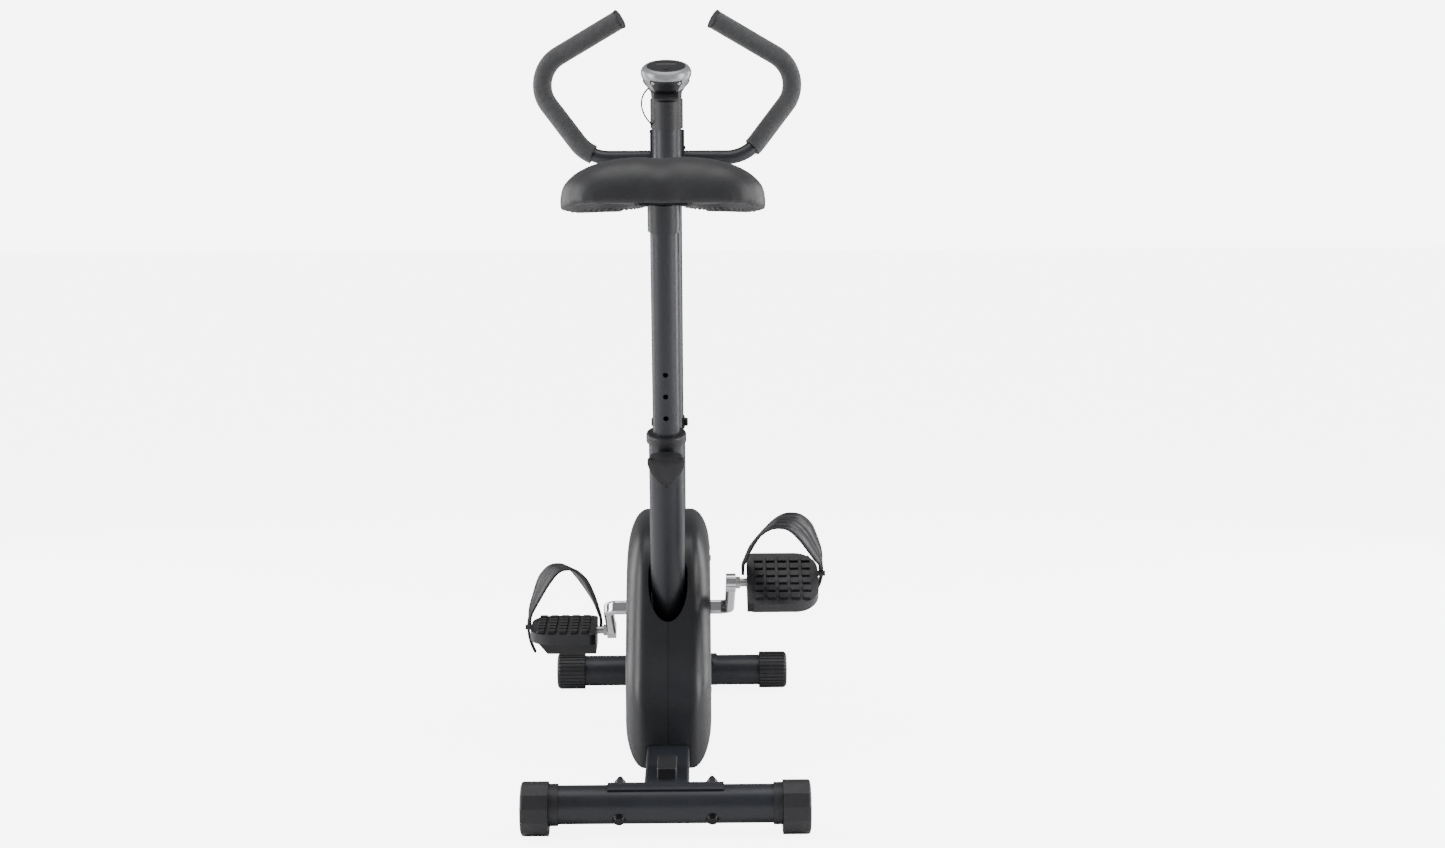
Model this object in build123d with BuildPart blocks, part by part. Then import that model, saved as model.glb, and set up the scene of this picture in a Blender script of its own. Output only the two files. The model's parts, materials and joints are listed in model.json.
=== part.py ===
from build123d import *
from math import cos, radians, sin, sqrt, tan
import os

os.makedirs("parts", exist_ok=True)

# Upright exercise bike with a magnetically braked flywheel, a height-adjustable saddle and a
# tilting handlebar. Millimetres. +Y is the way the rider faces, +X is the rider's right and
# +Z is up. The origin is on the floor, under the middle of the whole bike.

# ---------------------------------------------------------------- driving dimensions
wheelbase = 795.0             # rear stabiliser axis to front stabiliser axis
tube_wall = 2.0               # wall of every steel tube

stabiliser_od = 50.0
rear_width = 374.0            # over the levelling caps
front_width = 383.0           # over the transport rollers
cap_width = 36.0
cap_flats = 67.8              # twelve-sided levelling cap, across its flats
cap_drop = 5.0                # the cap's middle hangs this far below the tube's axis
collar_od = 54.3
collar_width = 11.6
roller_od = 60.4
roller_width = 46.0
roller_ribs = 30
spindle_r = 12.0              # plastic spindle that a cap or a roller turns on

bracket_width = 150.0         # half-pipe brackets that the stabilisers bolt into
bracket_wall = 3.0
bracket_half_wrap = 87.0      # degrees each side of the bolts
bolt_tilt = 35.0              # degrees above horizontal
bolt_spacing = 120.0
bolt_r = 4.0                  # M8
bolt_head_r = 10.0

beam_width = 60.0
beam_height = 30.0
beam_bottom = 15.0

seat_tube_od = 50.0
seat_lean = 16.5              # degrees back from vertical
seat_top_from_rear = 290.0    # seat tube's top, forward of the rear axis
seat_top_z = 483.0
seat_post_od = 38.1
seat_post_rise = 329.0        # seat post's top above the seat tube's top, along the tube
seat_hole_pitch = 32.5
seat_holes_above = 4
seat_holes_below = 2
seat_hole_r = 3.8
pin_depth = 30.0              # locking pin below the seat tube's top, along the tube
pin_r = 3.6

post_od = 45.0
post_lean = 13.0              # degrees back from vertical
post_seam_from_rear = 696.0
post_seam_z = 437.0
post_length = 512.0
front_tube_od = 50.0

crank_length = 140.0
crank_boss_x = 90.0           # middle of each crank arm, out from the centre line
crank_angle = -25.5           # degrees of the left arm above forward horizontal
crank_thickness = 14.0
crank_depth = 20.0
crank_axle_r = 11.0
bracket_shell_od = 38.0
bracket_shell_length = 56.0
crank_height = 213.5

pulley_x = 36.0               # inner face of both pulleys
pulley_width = 12.0
crank_pulley_r = 68.0
flywheel_pulley_r = 16.0
belt_thickness = 3.0
flywheel_r = 110.0
flywheel_thickness = 18.0
flywheel_ahead = 156.0        # flywheel axle, forward of the crank axle
flywheel_below = 41.5         # and below it
axle_r = 5.0

housing_half_width = 62.0
housing_strip = 66.0          # width of the flat band round the housing's edge
housing_round = 60.0          # how far in from the edge the flanks go on rounding
housing_wall = 3.0
housing_rear = 262.0          # forward of the rear axis
housing_front = 757.0
housing_top = 341.0
housing_bottom = 12.0

pedal_x = 163.5               # middle of each pedal, out from the centre line
pedal_width = 101.0
pedal_length = 105.0
pedal_thickness = 16.0
pedal_tilts = {"left": 5.0, "right": 33.0}    # degrees, rear edge down
strap_height = 88.0
strap_width = 28.0
strap_thickness = 3.0

bar_od = 22.0
grip_od = 30.0
bar_forward = 648.0           # middle of the bar, forward of the rear axis
bar_z = 880.0
clamp_width = 53.0

saddle_width = 266.0
saddle_length = 268.0
saddle_overhang = 128.0       # saddle's rear edge behind the seat post's top
saddle_bottom = 800.0
saddle_thickness = 66.0

console_width = 77.0
console_length = 68.0
console_tilt = 24.0

# clearances
running = 0.05                # radial, shaft in bore
body_gap = 0.3                # between neighbours that move past each other
cover_gap = 1.5               # between a tube and the cover it passes through
pull_clear = 0.6              # locking pin's tip to the seat post at rest

# ---------------------------------------------------------------- derived places
rear_y = -(wheelbase + roller_od / 2 - cap_flats / 2) / 2
front_y = rear_y + wheelbase
rear_z = cap_flats / 2 + cap_drop
front_z = roller_od / 2
stabiliser_r = stabiliser_od / 2
bracket_r = stabiliser_r + bracket_wall
beam_top = beam_bottom + beam_height


def across(y, z):
    """Plane whose normal is +X, with its own axes along +Y and +Z."""
    return Plane((0, y, z), x_dir=(0, 1, 0), z_dir=(1, 0, 0))


def along(y, z, angle):
    """Plane whose normal leans towards -Y from vertical by angle, with its x axis along +X."""
    return Plane((0, y, z), x_dir=(1, 0, 0), z_dir=(0, -sin(radians(angle)), cos(radians(angle))))


def raised(plane, distance):
    return plane.offset(distance)


rear_axis = across(rear_y, rear_z)
front_axis = across(front_y, front_z)
seat_plane = along(rear_y + seat_top_from_rear, seat_top_z, seat_lean)
seat_axis = Axis(seat_plane.origin, seat_plane.z_dir)
post_plane = along(rear_y + post_seam_from_rear, post_seam_z, post_lean)

# The bottom bracket is welded to the front of the seat tube.
shell_offset = (seat_tube_od + bracket_shell_od) / 2
crank_drop = (seat_top_z + shell_offset * sin(radians(seat_lean)) - crank_height) / cos(radians(seat_lean))
crank_centre = seat_plane.from_local_coords((0, shell_offset, -crank_drop))
crank_axis = across(crank_centre.Y, crank_centre.Z)
flywheel_y = crank_centre.Y + flywheel_ahead
flywheel_z = crank_centre.Z - flywheel_below
flywheel_axis = across(flywheel_y, flywheel_z)

arm = Vector(0, cos(radians(crank_angle)), sin(radians(crank_angle)))
pedal_centres = {
    "left": crank_centre + arm * crank_length + Vector(-pedal_x, 0, 0),
    "right": crank_centre - arm * crank_length + Vector(pedal_x, 0, 0),
}
sides = {"left": -1, "right": 1}


def ring_sector(inner, outer, start, sweep_angle):
    """Sketch of the face between two radii over a stretch of angle."""
    with BuildSketch() as sector:
        with BuildLine():
            first = CenterArc((0, 0), inner, start, sweep_angle)
            second = CenterArc((0, 0), outer, start, sweep_angle)
            Line(first @ 0, second @ 0)
            Line(first @ 1, second @ 1)
        make_face()
    return sector.sketch


# ---------------------------------------------------------------- stabilisers
plug_flange = 2.0
plug_stub = 25.0
spindle_length = 30.0
cap_recess_r = 24.0
cap_recess = 16.0

rear_tube_half = rear_width / 2 - cap_width - body_gap - plug_flange
front_tube_half = front_width / 2 - roller_width - body_gap - plug_flange
rear_bolts = Plane((0, rear_y, rear_z), x_dir=(1, 0, 0),
                   z_dir=(0, cos(radians(bolt_tilt)), sin(radians(bolt_tilt))))
front_bolts = Plane((0, front_y, front_z), x_dir=(1, 0, 0),
                    z_dir=(0, -cos(radians(bolt_tilt)), sin(radians(bolt_tilt))))
bolt_hole_r = bolt_r + 0.3

with BuildPart() as rear_stabiliser:
    with BuildSketch(rear_axis):
        Circle(stabiliser_r)
        Circle(stabiliser_r - tube_wall, mode=Mode.SUBTRACT)
    extrude(amount=rear_tube_half, both=True)
    with BuildSketch(rear_bolts):
        with GridLocations(bolt_spacing, 0, 2, 1):
            Circle(bolt_hole_r)
    extrude(amount=bracket_r, both=True, mode=Mode.SUBTRACT)
rear_stabiliser.part.label = "rear_stabiliser"
export_step(rear_stabiliser.part, "parts/rear_stabiliser.step")

with BuildPart() as front_stabiliser:
    with BuildSketch(front_axis):
        Circle(stabiliser_r)
        Circle(stabiliser_r - tube_wall, mode=Mode.SUBTRACT)
    extrude(amount=front_tube_half, both=True)
    with BuildSketch(front_bolts):
        with GridLocations(bolt_spacing, 0, 2, 1):
            Circle(bolt_hole_r)
    extrude(amount=bracket_r, both=True, mode=Mode.SUBTRACT)
front_stabiliser.part.label = "front_stabiliser"
export_step(front_stabiliser.part, "parts/front_stabiliser.step")


def end_plug(axis, tube_half, outer_r):
    """Right-hand plug: a stub inside the tube, a flange over its end and a spindle outside."""
    with BuildPart() as plug:
        with BuildSketch(raised(axis, tube_half - plug_stub)):
            Circle(stabiliser_r - tube_wall)
        extrude(amount=plug_stub)
        with BuildSketch(raised(axis, tube_half)):
            Circle(outer_r)
        extrude(amount=plug_flange)
        with BuildSketch(raised(axis, tube_half + plug_flange)):
            Circle(spindle_r)
        extrude(amount=spindle_length)
    return plug.part


rear_plug = end_plug(rear_axis, rear_tube_half, collar_od / 2)
with BuildPart() as rear_plugs:
    add(rear_plug)
    with BuildSketch(raised(rear_axis, rear_tube_half + plug_flange - collar_width)):
        Circle(collar_od / 2)
        Circle(stabiliser_r, mode=Mode.SUBTRACT)
    extrude(amount=collar_width - plug_flange)
    mirror(about=Plane.YZ)
rear_plugs.part.label = "rear_plugs"
export_step(rear_plugs.part, "parts/rear_plugs.step")

roller_plug = end_plug(front_axis, front_tube_half, stabiliser_r)
with BuildPart() as roller_plugs:
    add(roller_plug)
    mirror(about=Plane.YZ)
roller_plugs.part.label = "roller_plugs"
export_step(roller_plugs.part, "parts/roller_plugs.step")

for side, sign in sides.items():
    cap_inner = across(rear_y, rear_z).offset(sign * (rear_width / 2 - cap_width))
    with BuildPart() as levelling_cap:
        with BuildSketch(cap_inner):
            with Locations((0, -cap_drop)):
                RegularPolygon(cap_flats / 2, 12, major_radius=False, rotation=15)
        extrude(amount=sign * cap_width)
        outer_face = levelling_cap.faces().sort_by(Axis.X)[-1 if sign > 0 else 0]
        fillet(outer_face.edges(), radius=4)
        with BuildSketch(cap_inner):
            Circle(cap_recess_r)
        extrude(amount=sign * cap_recess, mode=Mode.SUBTRACT)
        with BuildSketch(cap_inner):
            Circle(spindle_r + running)
        extrude(amount=sign * (spindle_length + 1), mode=Mode.SUBTRACT)
    levelling_cap.part.label = f"levelling_cap_{side}"
    export_step(levelling_cap.part, f"parts/levelling_cap_{side}.step")

rib_gap = 2.4
rib_depth = 1.3
for side, sign in sides.items():
    roller_inner = across(front_y, front_z).offset(sign * (front_width / 2 - roller_width))
    with BuildPart() as roller:
        with BuildSketch(roller_inner):
            Circle(roller_od / 2)
        extrude(amount=sign * roller_width)
        outer_face = roller.faces().sort_by(Axis.X)[-1 if sign > 0 else 0]
        fillet(outer_face.edges(), radius=7)
        with BuildSketch(roller_inner):
            with PolarLocations(roller_od / 2, roller_ribs):
                Rectangle(2 * rib_depth, rib_gap)
        extrude(amount=sign * roller_width, mode=Mode.SUBTRACT)
        with BuildSketch(roller_inner):
            Circle(spindle_r + running)
        extrude(amount=sign * (spindle_length + 1), mode=Mode.SUBTRACT)
    roller.part.label = f"roller_{side}"
    export_step(roller.part, f"parts/roller_{side}.step")

with BuildPart() as rear_bracket:
    with BuildSketch(rear_axis):
        add(ring_sector(stabiliser_r, bracket_r, bolt_tilt - bracket_half_wrap, 2 * bracket_half_wrap))
    extrude(amount=bracket_width / 2, both=True)
    with BuildSketch(rear_bolts):
        with GridLocations(bolt_spacing, 0, 2, 1):
            Circle(bolt_hole_r)
    extrude(amount=2 * bracket_r, mode=Mode.SUBTRACT)
rear_bracket.part.label = "rear_bracket"
export_step(rear_bracket.part, "parts/rear_bracket.step")

with BuildPart() as front_bracket:
    with BuildSketch(front_axis):
        add(ring_sector(stabiliser_r, bracket_r, 180 - bolt_tilt - bracket_half_wrap, 2 * bracket_half_wrap))
    extrude(amount=bracket_width / 2, both=True)
    with BuildSketch(front_bolts):
        with GridLocations(bolt_spacing, 0, 2, 1):
            Circle(bolt_hole_r)
    extrude(amount=2 * bracket_r, mode=Mode.SUBTRACT)
front_bracket.part.label = "front_bracket"
export_step(front_bracket.part, "parts/front_bracket.step")

washer_thickness = 1.6
nut_flats = 13.0
nut_height = 8.0
dome_height = 6.0
head_height = 6.0
head_seat = 2.0               # the head's rim wraps this far round the tube
nut_base = bracket_r + washer_thickness
shank_end = nut_base + nut_height

with BuildPart() as stabiliser_bolts:
    for bolts, axis in ((rear_bolts, rear_axis), (front_bolts, front_axis)):
        with BuildSketch(raised(bolts, -stabiliser_r + head_seat)):
            with GridLocations(bolt_spacing, 0, 2, 1):
                Circle(bolt_head_r)
        extrude(amount=-head_height, taper=30)
        with BuildSketch(axis):
            Circle(stabiliser_r)
        extrude(amount=bracket_width / 2, both=True, mode=Mode.SUBTRACT)
    for bolts in (rear_bolts, front_bolts):
        with BuildSketch(raised(bolts, -stabiliser_r)):
            with GridLocations(bolt_spacing, 0, 2, 1):
                Circle(bolt_r)
        extrude(amount=stabiliser_r + shank_end)
stabiliser_bolts.part.label = "stabiliser_bolts"
export_step(stabiliser_bolts.part, "parts/stabiliser_bolts.step")

with BuildPart() as stabiliser_nuts:
    for bolts in (rear_bolts, front_bolts):
        with BuildSketch(raised(bolts, bracket_r)):
            with GridLocations(bolt_spacing, 0, 2, 1):
                Circle(8.5)
                Circle(bolt_r, mode=Mode.SUBTRACT)
        extrude(amount=washer_thickness)
        with BuildSketch(raised(bolts, nut_base + body_gap / 10)):
            with GridLocations(bolt_spacing, 0, 2, 1):
                RegularPolygon(nut_flats / 2, 6, major_radius=False)
                Circle(bolt_r, mode=Mode.SUBTRACT)
        extrude(amount=nut_height)
        with BuildSketch(raised(bolts, shank_end + body_gap / 10)):
            with GridLocations(bolt_spacing, 0, 2, 1):
                Circle(nut_flats / 2 - 0.3)
        extrude(amount=dome_height, taper=28)
stabiliser_nuts.part.label = "stabiliser_nuts"
export_step(stabiliser_nuts.part, "parts/stabiliser_nuts.step")

# ---------------------------------------------------------------- main frame
with BuildPart() as base_beam:
    beam_start = rear_y + 10
    beam_end = front_y - 10
    with BuildSketch(Plane.XZ.offset(-beam_start)):
        with Locations((0, beam_bottom + beam_height / 2)):
            RectangleRounded(beam_width, beam_height, 4)
            RectangleRounded(beam_width - 2 * tube_wall, beam_height - 2 * tube_wall, 2, mode=Mode.SUBTRACT)
    extrude(amount=-(beam_end - beam_start))
    for axis in (rear_axis, front_axis):
        with BuildSketch(axis):
            Circle(bracket_r)
        extrude(amount=beam_width, both=True, mode=Mode.SUBTRACT)
base_beam.part.label = "base_beam"
export_step(base_beam.part, "parts/base_beam.step")

block_width = 26.0
block_length = 66.0
block_height = 15.0
block_from_rear = 125.0
with BuildPart() as beam_block:
    with BuildSketch(Plane.XY.offset(beam_top)):
        with Locations((0, rear_y + block_from_rear)):
            RectangleRounded(block_width, block_length, 3)
    extrude(amount=block_height)
    fillet(beam_block.faces().sort_by(Axis.Z)[-1].edges(), radius=1.5)
beam_block.part.label = "beam_block"
export_step(beam_block.part, "parts/beam_block.step")

seat_tube_length = (seat_top_z - beam_top) / cos(radians(seat_lean))
pin_plane = Plane(seat_plane.from_local_coords((0, 0, -pin_depth)), x_dir=(1, 0, 0),
                  z_dir=-seat_plane.y_dir)
pin_hole_r = pin_r + running
pin_boss_r = 9.0
pin_boss_top = seat_tube_od / 2 + 7

with BuildPart() as seat_tube:
    with BuildSketch(seat_plane):
        Circle(seat_tube_od / 2)
    extrude(amount=-(seat_tube_length + seat_tube_od / 2))
    with BuildSketch(pin_plane):
        Circle(pin_boss_r)
    extrude(amount=pin_boss_top)
    with BuildSketch(seat_plane):
        Circle(seat_tube_od / 2 - tube_wall)
    extrude(amount=-(seat_tube_length + seat_tube_od), mode=Mode.SUBTRACT)
    with BuildSketch(pin_plane):
        Circle(pin_hole_r)
    extrude(amount=pin_boss_top, mode=Mode.SUBTRACT)
    split(bisect_by=Plane.XY.offset(beam_top), keep=Keep.TOP)
seat_tube.part.label = "seat_tube"
export_step(seat_tube.part, "parts/seat_tube.step")

bush_od = 56.7
bush_skirt = 6.0
bush_lip = 7.0
bush_depth = 70.0
bush_bore_r = seat_post_od / 2 + running
with BuildPart() as seat_tube_bush:
    with BuildSketch(raised(seat_plane, -bush_depth)):
        Circle(seat_tube_od / 2 - tube_wall)
    extrude(amount=bush_depth)
    with BuildSketch(raised(seat_plane, -bush_skirt)):
        Circle(bush_od / 2)
        Circle(seat_tube_od / 2, mode=Mode.SUBTRACT)
    extrude(amount=bush_skirt)
    with BuildSketch(seat_plane):
        Circle(bush_od / 2)
    extrude(amount=bush_lip)
    fillet(seat_tube_bush.faces().sort_by(seat_axis)[-1].edges(), radius=3.5)
    with BuildSketch(raised(seat_plane, -bush_depth)):
        Circle(bush_bore_r)
    extrude(amount=bush_depth + bush_lip, mode=Mode.SUBTRACT)
    with BuildSketch(pin_plane):
        Circle(pin_hole_r)
    extrude(amount=seat_tube_od, mode=Mode.SUBTRACT)
seat_tube_bush.part.label = "seat_tube_bush"
export_step(seat_tube_bush.part, "parts/seat_tube_bush.step")

# The front riser stands on the beam and leans back to meet the handlebar post. A reduced
# spigot at its top goes inside the post.
riser_bend_depth = 110.0      # bend below the seam, along the post
riser_bend_radius = 150.0
spigot_length = 75.0
spigot_root = 30.0
riser_bend = post_plane.from_local_coords((0, 0, -riser_bend_depth))
front_tube_y = riser_bend.Y
post_bore_r = post_od / 2 - tube_wall
post_bolt_height = 24.0
post_bolt_plane = Plane(post_plane.from_local_coords((0, 0, post_bolt_height)),
                        x_dir=post_plane.y_dir, z_dir=(1, 0, 0))

with BuildPart() as front_tube:
    with BuildLine():
        FilletPolyline(post_plane.origin, riser_bend, (0, front_tube_y, beam_top), radius=riser_bend_radius)
    with BuildSketch(post_plane):
        Circle(front_tube_od / 2)
        Circle(front_tube_od / 2 - tube_wall, mode=Mode.SUBTRACT)
    sweep()
    with BuildSketch(raised(post_plane, -spigot_root)):
        Circle(front_tube_od / 2 - tube_wall)
        Circle(post_bore_r - tube_wall - running, mode=Mode.SUBTRACT)
    extrude(amount=spigot_root)
    with BuildSketch(post_plane):
        Circle(post_bore_r - running)
        Circle(post_bore_r - running - tube_wall, mode=Mode.SUBTRACT)
    extrude(amount=spigot_length)
    with BuildSketch(post_bolt_plane):
        Circle(bolt_hole_r)
    extrude(amount=post_od, both=True, mode=Mode.SUBTRACT)
front_tube.part.label = "front_tube"
export_step(front_tube.part, "parts/front_tube.step")

tension_height = 325.0        # tension unit above the seam, along the post
cable_hole_r = 4.0
tension_plane = Plane(post_plane.from_local_coords((0, 0, tension_height)), x_dir=(1, 0, 0),
                      z_dir=-post_plane.y_dir)

with BuildPart() as front_post:
    with BuildSketch(post_plane):
        Circle(post_od / 2)
        Circle(post_bore_r, mode=Mode.SUBTRACT)
    extrude(amount=post_length)
    with BuildSketch(post_bolt_plane):
        Circle(bolt_hole_r)
    extrude(amount=post_od, both=True, mode=Mode.SUBTRACT)
    with BuildSketch(tension_plane):
        Circle(cable_hole_r)
    extrude(amount=post_od, mode=Mode.SUBTRACT)
front_post.part.label = "front_post"
export_step(front_post.part, "parts/front_post.step")

post_bolt_head_r = 7.0
post_bolt_head = 5.0
washer_depth = 2.0            # curved washer under each head
washer_height = 18.0
with BuildPart() as post_washer:
    with BuildSketch(post_plane.offset(post_bolt_height - washer_height / 2)):
        add(ring_sector(post_od / 2, post_od / 2 + washer_depth, -22, 44))
    extrude(amount=washer_height)
    with BuildSketch(post_bolt_plane):
        Circle(bolt_hole_r)
    extrude(amount=post_od, mode=Mode.SUBTRACT)
    mirror(about=Plane.YZ)
post_washer_pair = post_washer.part

with BuildPart() as post_bolts:
    with BuildSketch(raised(post_bolt_plane, post_bore_r - 8)):
        Circle(bolt_r)
    extrude(amount=tube_wall + 8 + washer_depth + 1)
    with BuildSketch(raised(post_bolt_plane, post_od / 2 + washer_depth + running)):
        Circle(post_bolt_head_r)
    extrude(amount=post_bolt_head)
    fillet(post_bolts.faces().sort_by(Axis.X)[-1].edges(), radius=2.5)
    with BuildSketch(raised(post_bolt_plane, post_od / 2 + washer_depth + 2)):
        RegularPolygon(3.0, 6)
    extrude(amount=post_bolt_head, mode=Mode.SUBTRACT)
    mirror(about=Plane.YZ)
    add(post_washer_pair)
post_bolts.part.label = "post_bolts"
export_step(post_bolts.part, "parts/post_bolts.step")

# ---------------------------------------------------------------- cranks and drive
cup_flange_r = 20.0
cup_flange = 3.0
cup_depth = 12.0
with BuildPart() as bottom_bracket:
    with BuildSketch(crank_axis):
        Circle(bracket_shell_od / 2)
        Circle(bracket_shell_od / 2 - tube_wall, mode=Mode.SUBTRACT)
    extrude(amount=bracket_shell_length / 2, both=True)
bottom_bracket.part.label = "bottom_bracket"
export_step(bottom_bracket.part, "parts/bottom_bracket.step")

with BuildPart() as bearing_cups:
    with BuildSketch(raised(crank_axis, bracket_shell_length / 2 - cup_depth)):
        Circle(bracket_shell_od / 2 - tube_wall)
    extrude(amount=cup_depth)
    with BuildSketch(raised(crank_axis, bracket_shell_length / 2)):
        Circle(cup_flange_r)
    extrude(amount=cup_flange)
    with BuildSketch(crank_axis):
        Circle(crank_axle_r + running)
    extrude(amount=bracket_shell_length, mode=Mode.SUBTRACT)
    mirror(about=Plane.YZ)
bearing_cups.part.label = "bearing_cups"
export_step(bearing_cups.part, "parts/bearing_cups.step")

crank_bend_radius = 14.0
boss_r = 13.0
pedal_thread_r = 7.0
crank_plane = Plane(crank_centre, x_dir=(1, 0, 0), z_dir=arm)
with BuildPart() as crank:
    with BuildLine():
        FilletPolyline(
            crank_centre + arm * crank_length - Vector(crank_boss_x, 0, 0),
            crank_centre - Vector(crank_boss_x, 0, 0),
            crank_centre + Vector(crank_boss_x, 0, 0),
            crank_centre - arm * crank_length + Vector(crank_boss_x, 0, 0),
            radius=crank_bend_radius,
        )
    with BuildSketch(Plane(crank_centre + arm * crank_length - Vector(crank_boss_x, 0, 0),
                           x_dir=(1, 0, 0), z_dir=-arm)):
        RectangleRounded(crank_thickness, crank_depth, 5)
    sweep()
    with BuildSketch(crank_axis):
        Circle(crank_axle_r)
    extrude(amount=housing_half_width - 2, both=True)
    for side, sign in sides.items():
        centre = pedal_centres[side]
        with BuildSketch(across(centre.Y, centre.Z).offset(sign * crank_boss_x)):
            Circle(boss_r)
        extrude(amount=crank_thickness / 2, both=True)
        with BuildSketch(across(centre.Y, centre.Z).offset(sign * crank_boss_x)):
            Circle(pedal_thread_r)
        extrude(amount=crank_thickness, both=True, mode=Mode.SUBTRACT)
crank.part.label = "crank"
export_step(crank.part, "parts/crank.step")

pulley_flange = 1.5
pulley_lip = 3.0
pulley_web = 4.0
with BuildPart() as crank_pulley:
    with BuildSketch(raised(crank_axis, pulley_x)):
        Circle(crank_pulley_r)
        Circle(crank_pulley_r - 8, mode=Mode.SUBTRACT)
    extrude(amount=pulley_width)
    for x in (pulley_x, pulley_x + pulley_width - pulley_flange):
        with BuildSketch(raised(crank_axis, x)):
            Circle(crank_pulley_r + pulley_lip)
            Circle(crank_pulley_r - 8, mode=Mode.SUBTRACT)
        extrude(amount=pulley_flange)
    with BuildSketch(raised(crank_axis, pulley_x + (pulley_width - pulley_web) / 2)):
        Circle(crank_pulley_r - 8)
        with PolarLocations(crank_pulley_r / 2, 6):
            Circle(11, mode=Mode.SUBTRACT)
    extrude(amount=pulley_web)
    with BuildSketch(raised(crank_axis, pulley_x)):
        Circle(crank_axle_r + 7)
    extrude(amount=pulley_width)
    with BuildSketch(raised(crank_axis, pulley_x)):
        Circle(crank_axle_r)
    extrude(amount=pulley_width, mode=Mode.SUBTRACT)
crank_pulley.part.label = "crank_pulley"
export_step(crank_pulley.part, "parts/crank_pulley.step")

flywheel_x = -22.0            # left face of the flywheel's rim
hub_r = 13.0
hub_left = -29.0
hub_right = pulley_x + pulley_width
rim_depth = 20.0
web_thickness = 7.0
with BuildPart() as flywheel:
    with BuildSketch(raised(flywheel_axis, flywheel_x)):
        Circle(flywheel_r)
        Circle(flywheel_r - rim_depth, mode=Mode.SUBTRACT)
    extrude(amount=flywheel_thickness)
    with BuildSketch(raised(flywheel_axis, flywheel_x + (flywheel_thickness - web_thickness) / 2)):
        Circle(flywheel_r - rim_depth)
        with PolarLocations(flywheel_r / 2, 5):
            Circle(14, mode=Mode.SUBTRACT)
    extrude(amount=web_thickness)
    with BuildSketch(raised(flywheel_axis, hub_left)):
        Circle(hub_r)
    extrude(amount=hub_right - hub_left)
    with BuildSketch(raised(flywheel_axis, hub_left)):
        Circle(axle_r + running)
    extrude(amount=hub_right - hub_left, mode=Mode.SUBTRACT)
flywheel.part.label = "flywheel"
export_step(flywheel.part, "parts/flywheel.step")

with BuildPart() as flywheel_pulley:
    with BuildSketch(raised(flywheel_axis, pulley_x)):
        Circle(flywheel_pulley_r)
    extrude(amount=pulley_width)
    for x in (pulley_x, pulley_x + pulley_width - pulley_flange):
        with BuildSketch(raised(flywheel_axis, x)):
            Circle(flywheel_pulley_r + pulley_lip)
        extrude(amount=pulley_flange)
    with BuildSketch(raised(flywheel_axis, pulley_x)):
        Circle(hub_r)
    extrude(amount=pulley_width, mode=Mode.SUBTRACT)
flywheel_pulley.part.label = "flywheel_pulley"
export_step(flywheel_pulley.part, "parts/flywheel_pulley.step")

belt_clearance = 0.15
belt_width = pulley_width - 2 * pulley_flange - 1
with BuildPart() as drive_belt:
    with BuildSketch(raised(crank_axis, pulley_x + (pulley_width - belt_width) / 2)):
        with BuildSketch(mode=Mode.PRIVATE) as belt_outside:
            Circle(crank_pulley_r + belt_clearance + belt_thickness)
            with Locations((flywheel_ahead, -flywheel_below)):
                Circle(flywheel_pulley_r + belt_clearance + belt_thickness)
            make_hull()
        with BuildSketch(mode=Mode.PRIVATE) as belt_inside:
            Circle(crank_pulley_r + belt_clearance)
            with Locations((flywheel_ahead, -flywheel_below)):
                Circle(flywheel_pulley_r + belt_clearance)
            make_hull()
        add(belt_outside.sketch)
        add(belt_inside.sketch, mode=Mode.SUBTRACT)
    extrude(amount=belt_width)
drive_belt.part.label = "drive_belt"
export_step(drive_belt.part, "parts/drive_belt.step")

# The fork's two plates stand on the beam's sides. The left one also carries the magnet pivot.
fork_plate = 3.0
fork_left = -beam_width / 2 - fork_plate
fork_right = pulley_x + pulley_width + 1.5
nut_thickness = 5.0
magnet_pivot_angle = 132.0
magnet_arc_r = flywheel_r + 7.0
magnet_pivot_r = magnet_arc_r + 4.0
magnet_pivot_y = magnet_pivot_r * cos(radians(magnet_pivot_angle))
magnet_pivot_z = magnet_pivot_r * sin(radians(magnet_pivot_angle))
pivot_pin_r = 3.0
plate_foot = beam_bottom + 3 - flywheel_z
with BuildPart() as flywheel_fork:
    with BuildSketch(raised(flywheel_axis, fork_left)):
        Polygon((-40, plate_foot), (34, plate_foot), (16, 16), (-4, 24),
                (magnet_pivot_y + 9, magnet_pivot_z + 9), (magnet_pivot_y - 9, magnet_pivot_z + 9),
                (magnet_pivot_y - 9, magnet_pivot_z - 9), (-26, 0), align=None)
        Circle(axle_r, mode=Mode.SUBTRACT)
        with Locations((magnet_pivot_y, magnet_pivot_z)):
            Circle(pivot_pin_r, mode=Mode.SUBTRACT)
    extrude(amount=fork_plate)
    with BuildSketch(raised(flywheel_axis, fork_right)):
        Polygon((-34, beam_top - flywheel_z), (34, beam_top - flywheel_z), (16, 16), (-16, 16), align=None)
        Circle(axle_r, mode=Mode.SUBTRACT)
    extrude(amount=fork_plate)
    with BuildSketch(raised(flywheel_axis, 0)):
        with Locations((0, beam_top - flywheel_z)):
            Rectangle(68, 4, align=(Align.CENTER, Align.MIN))
    extrude(amount=fork_right)
flywheel_fork.part.label = "flywheel_fork"
export_step(flywheel_fork.part, "parts/flywheel_fork.step")

with BuildPart() as flywheel_axle:
    with BuildSketch(raised(flywheel_axis, fork_left - 9)):
        Circle(axle_r)
    extrude(amount=fork_right + fork_plate + nut_thickness - fork_left + 9)
flywheel_axle.part.label = "flywheel_axle"
export_step(flywheel_axle.part, "parts/flywheel_axle.step")

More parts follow.
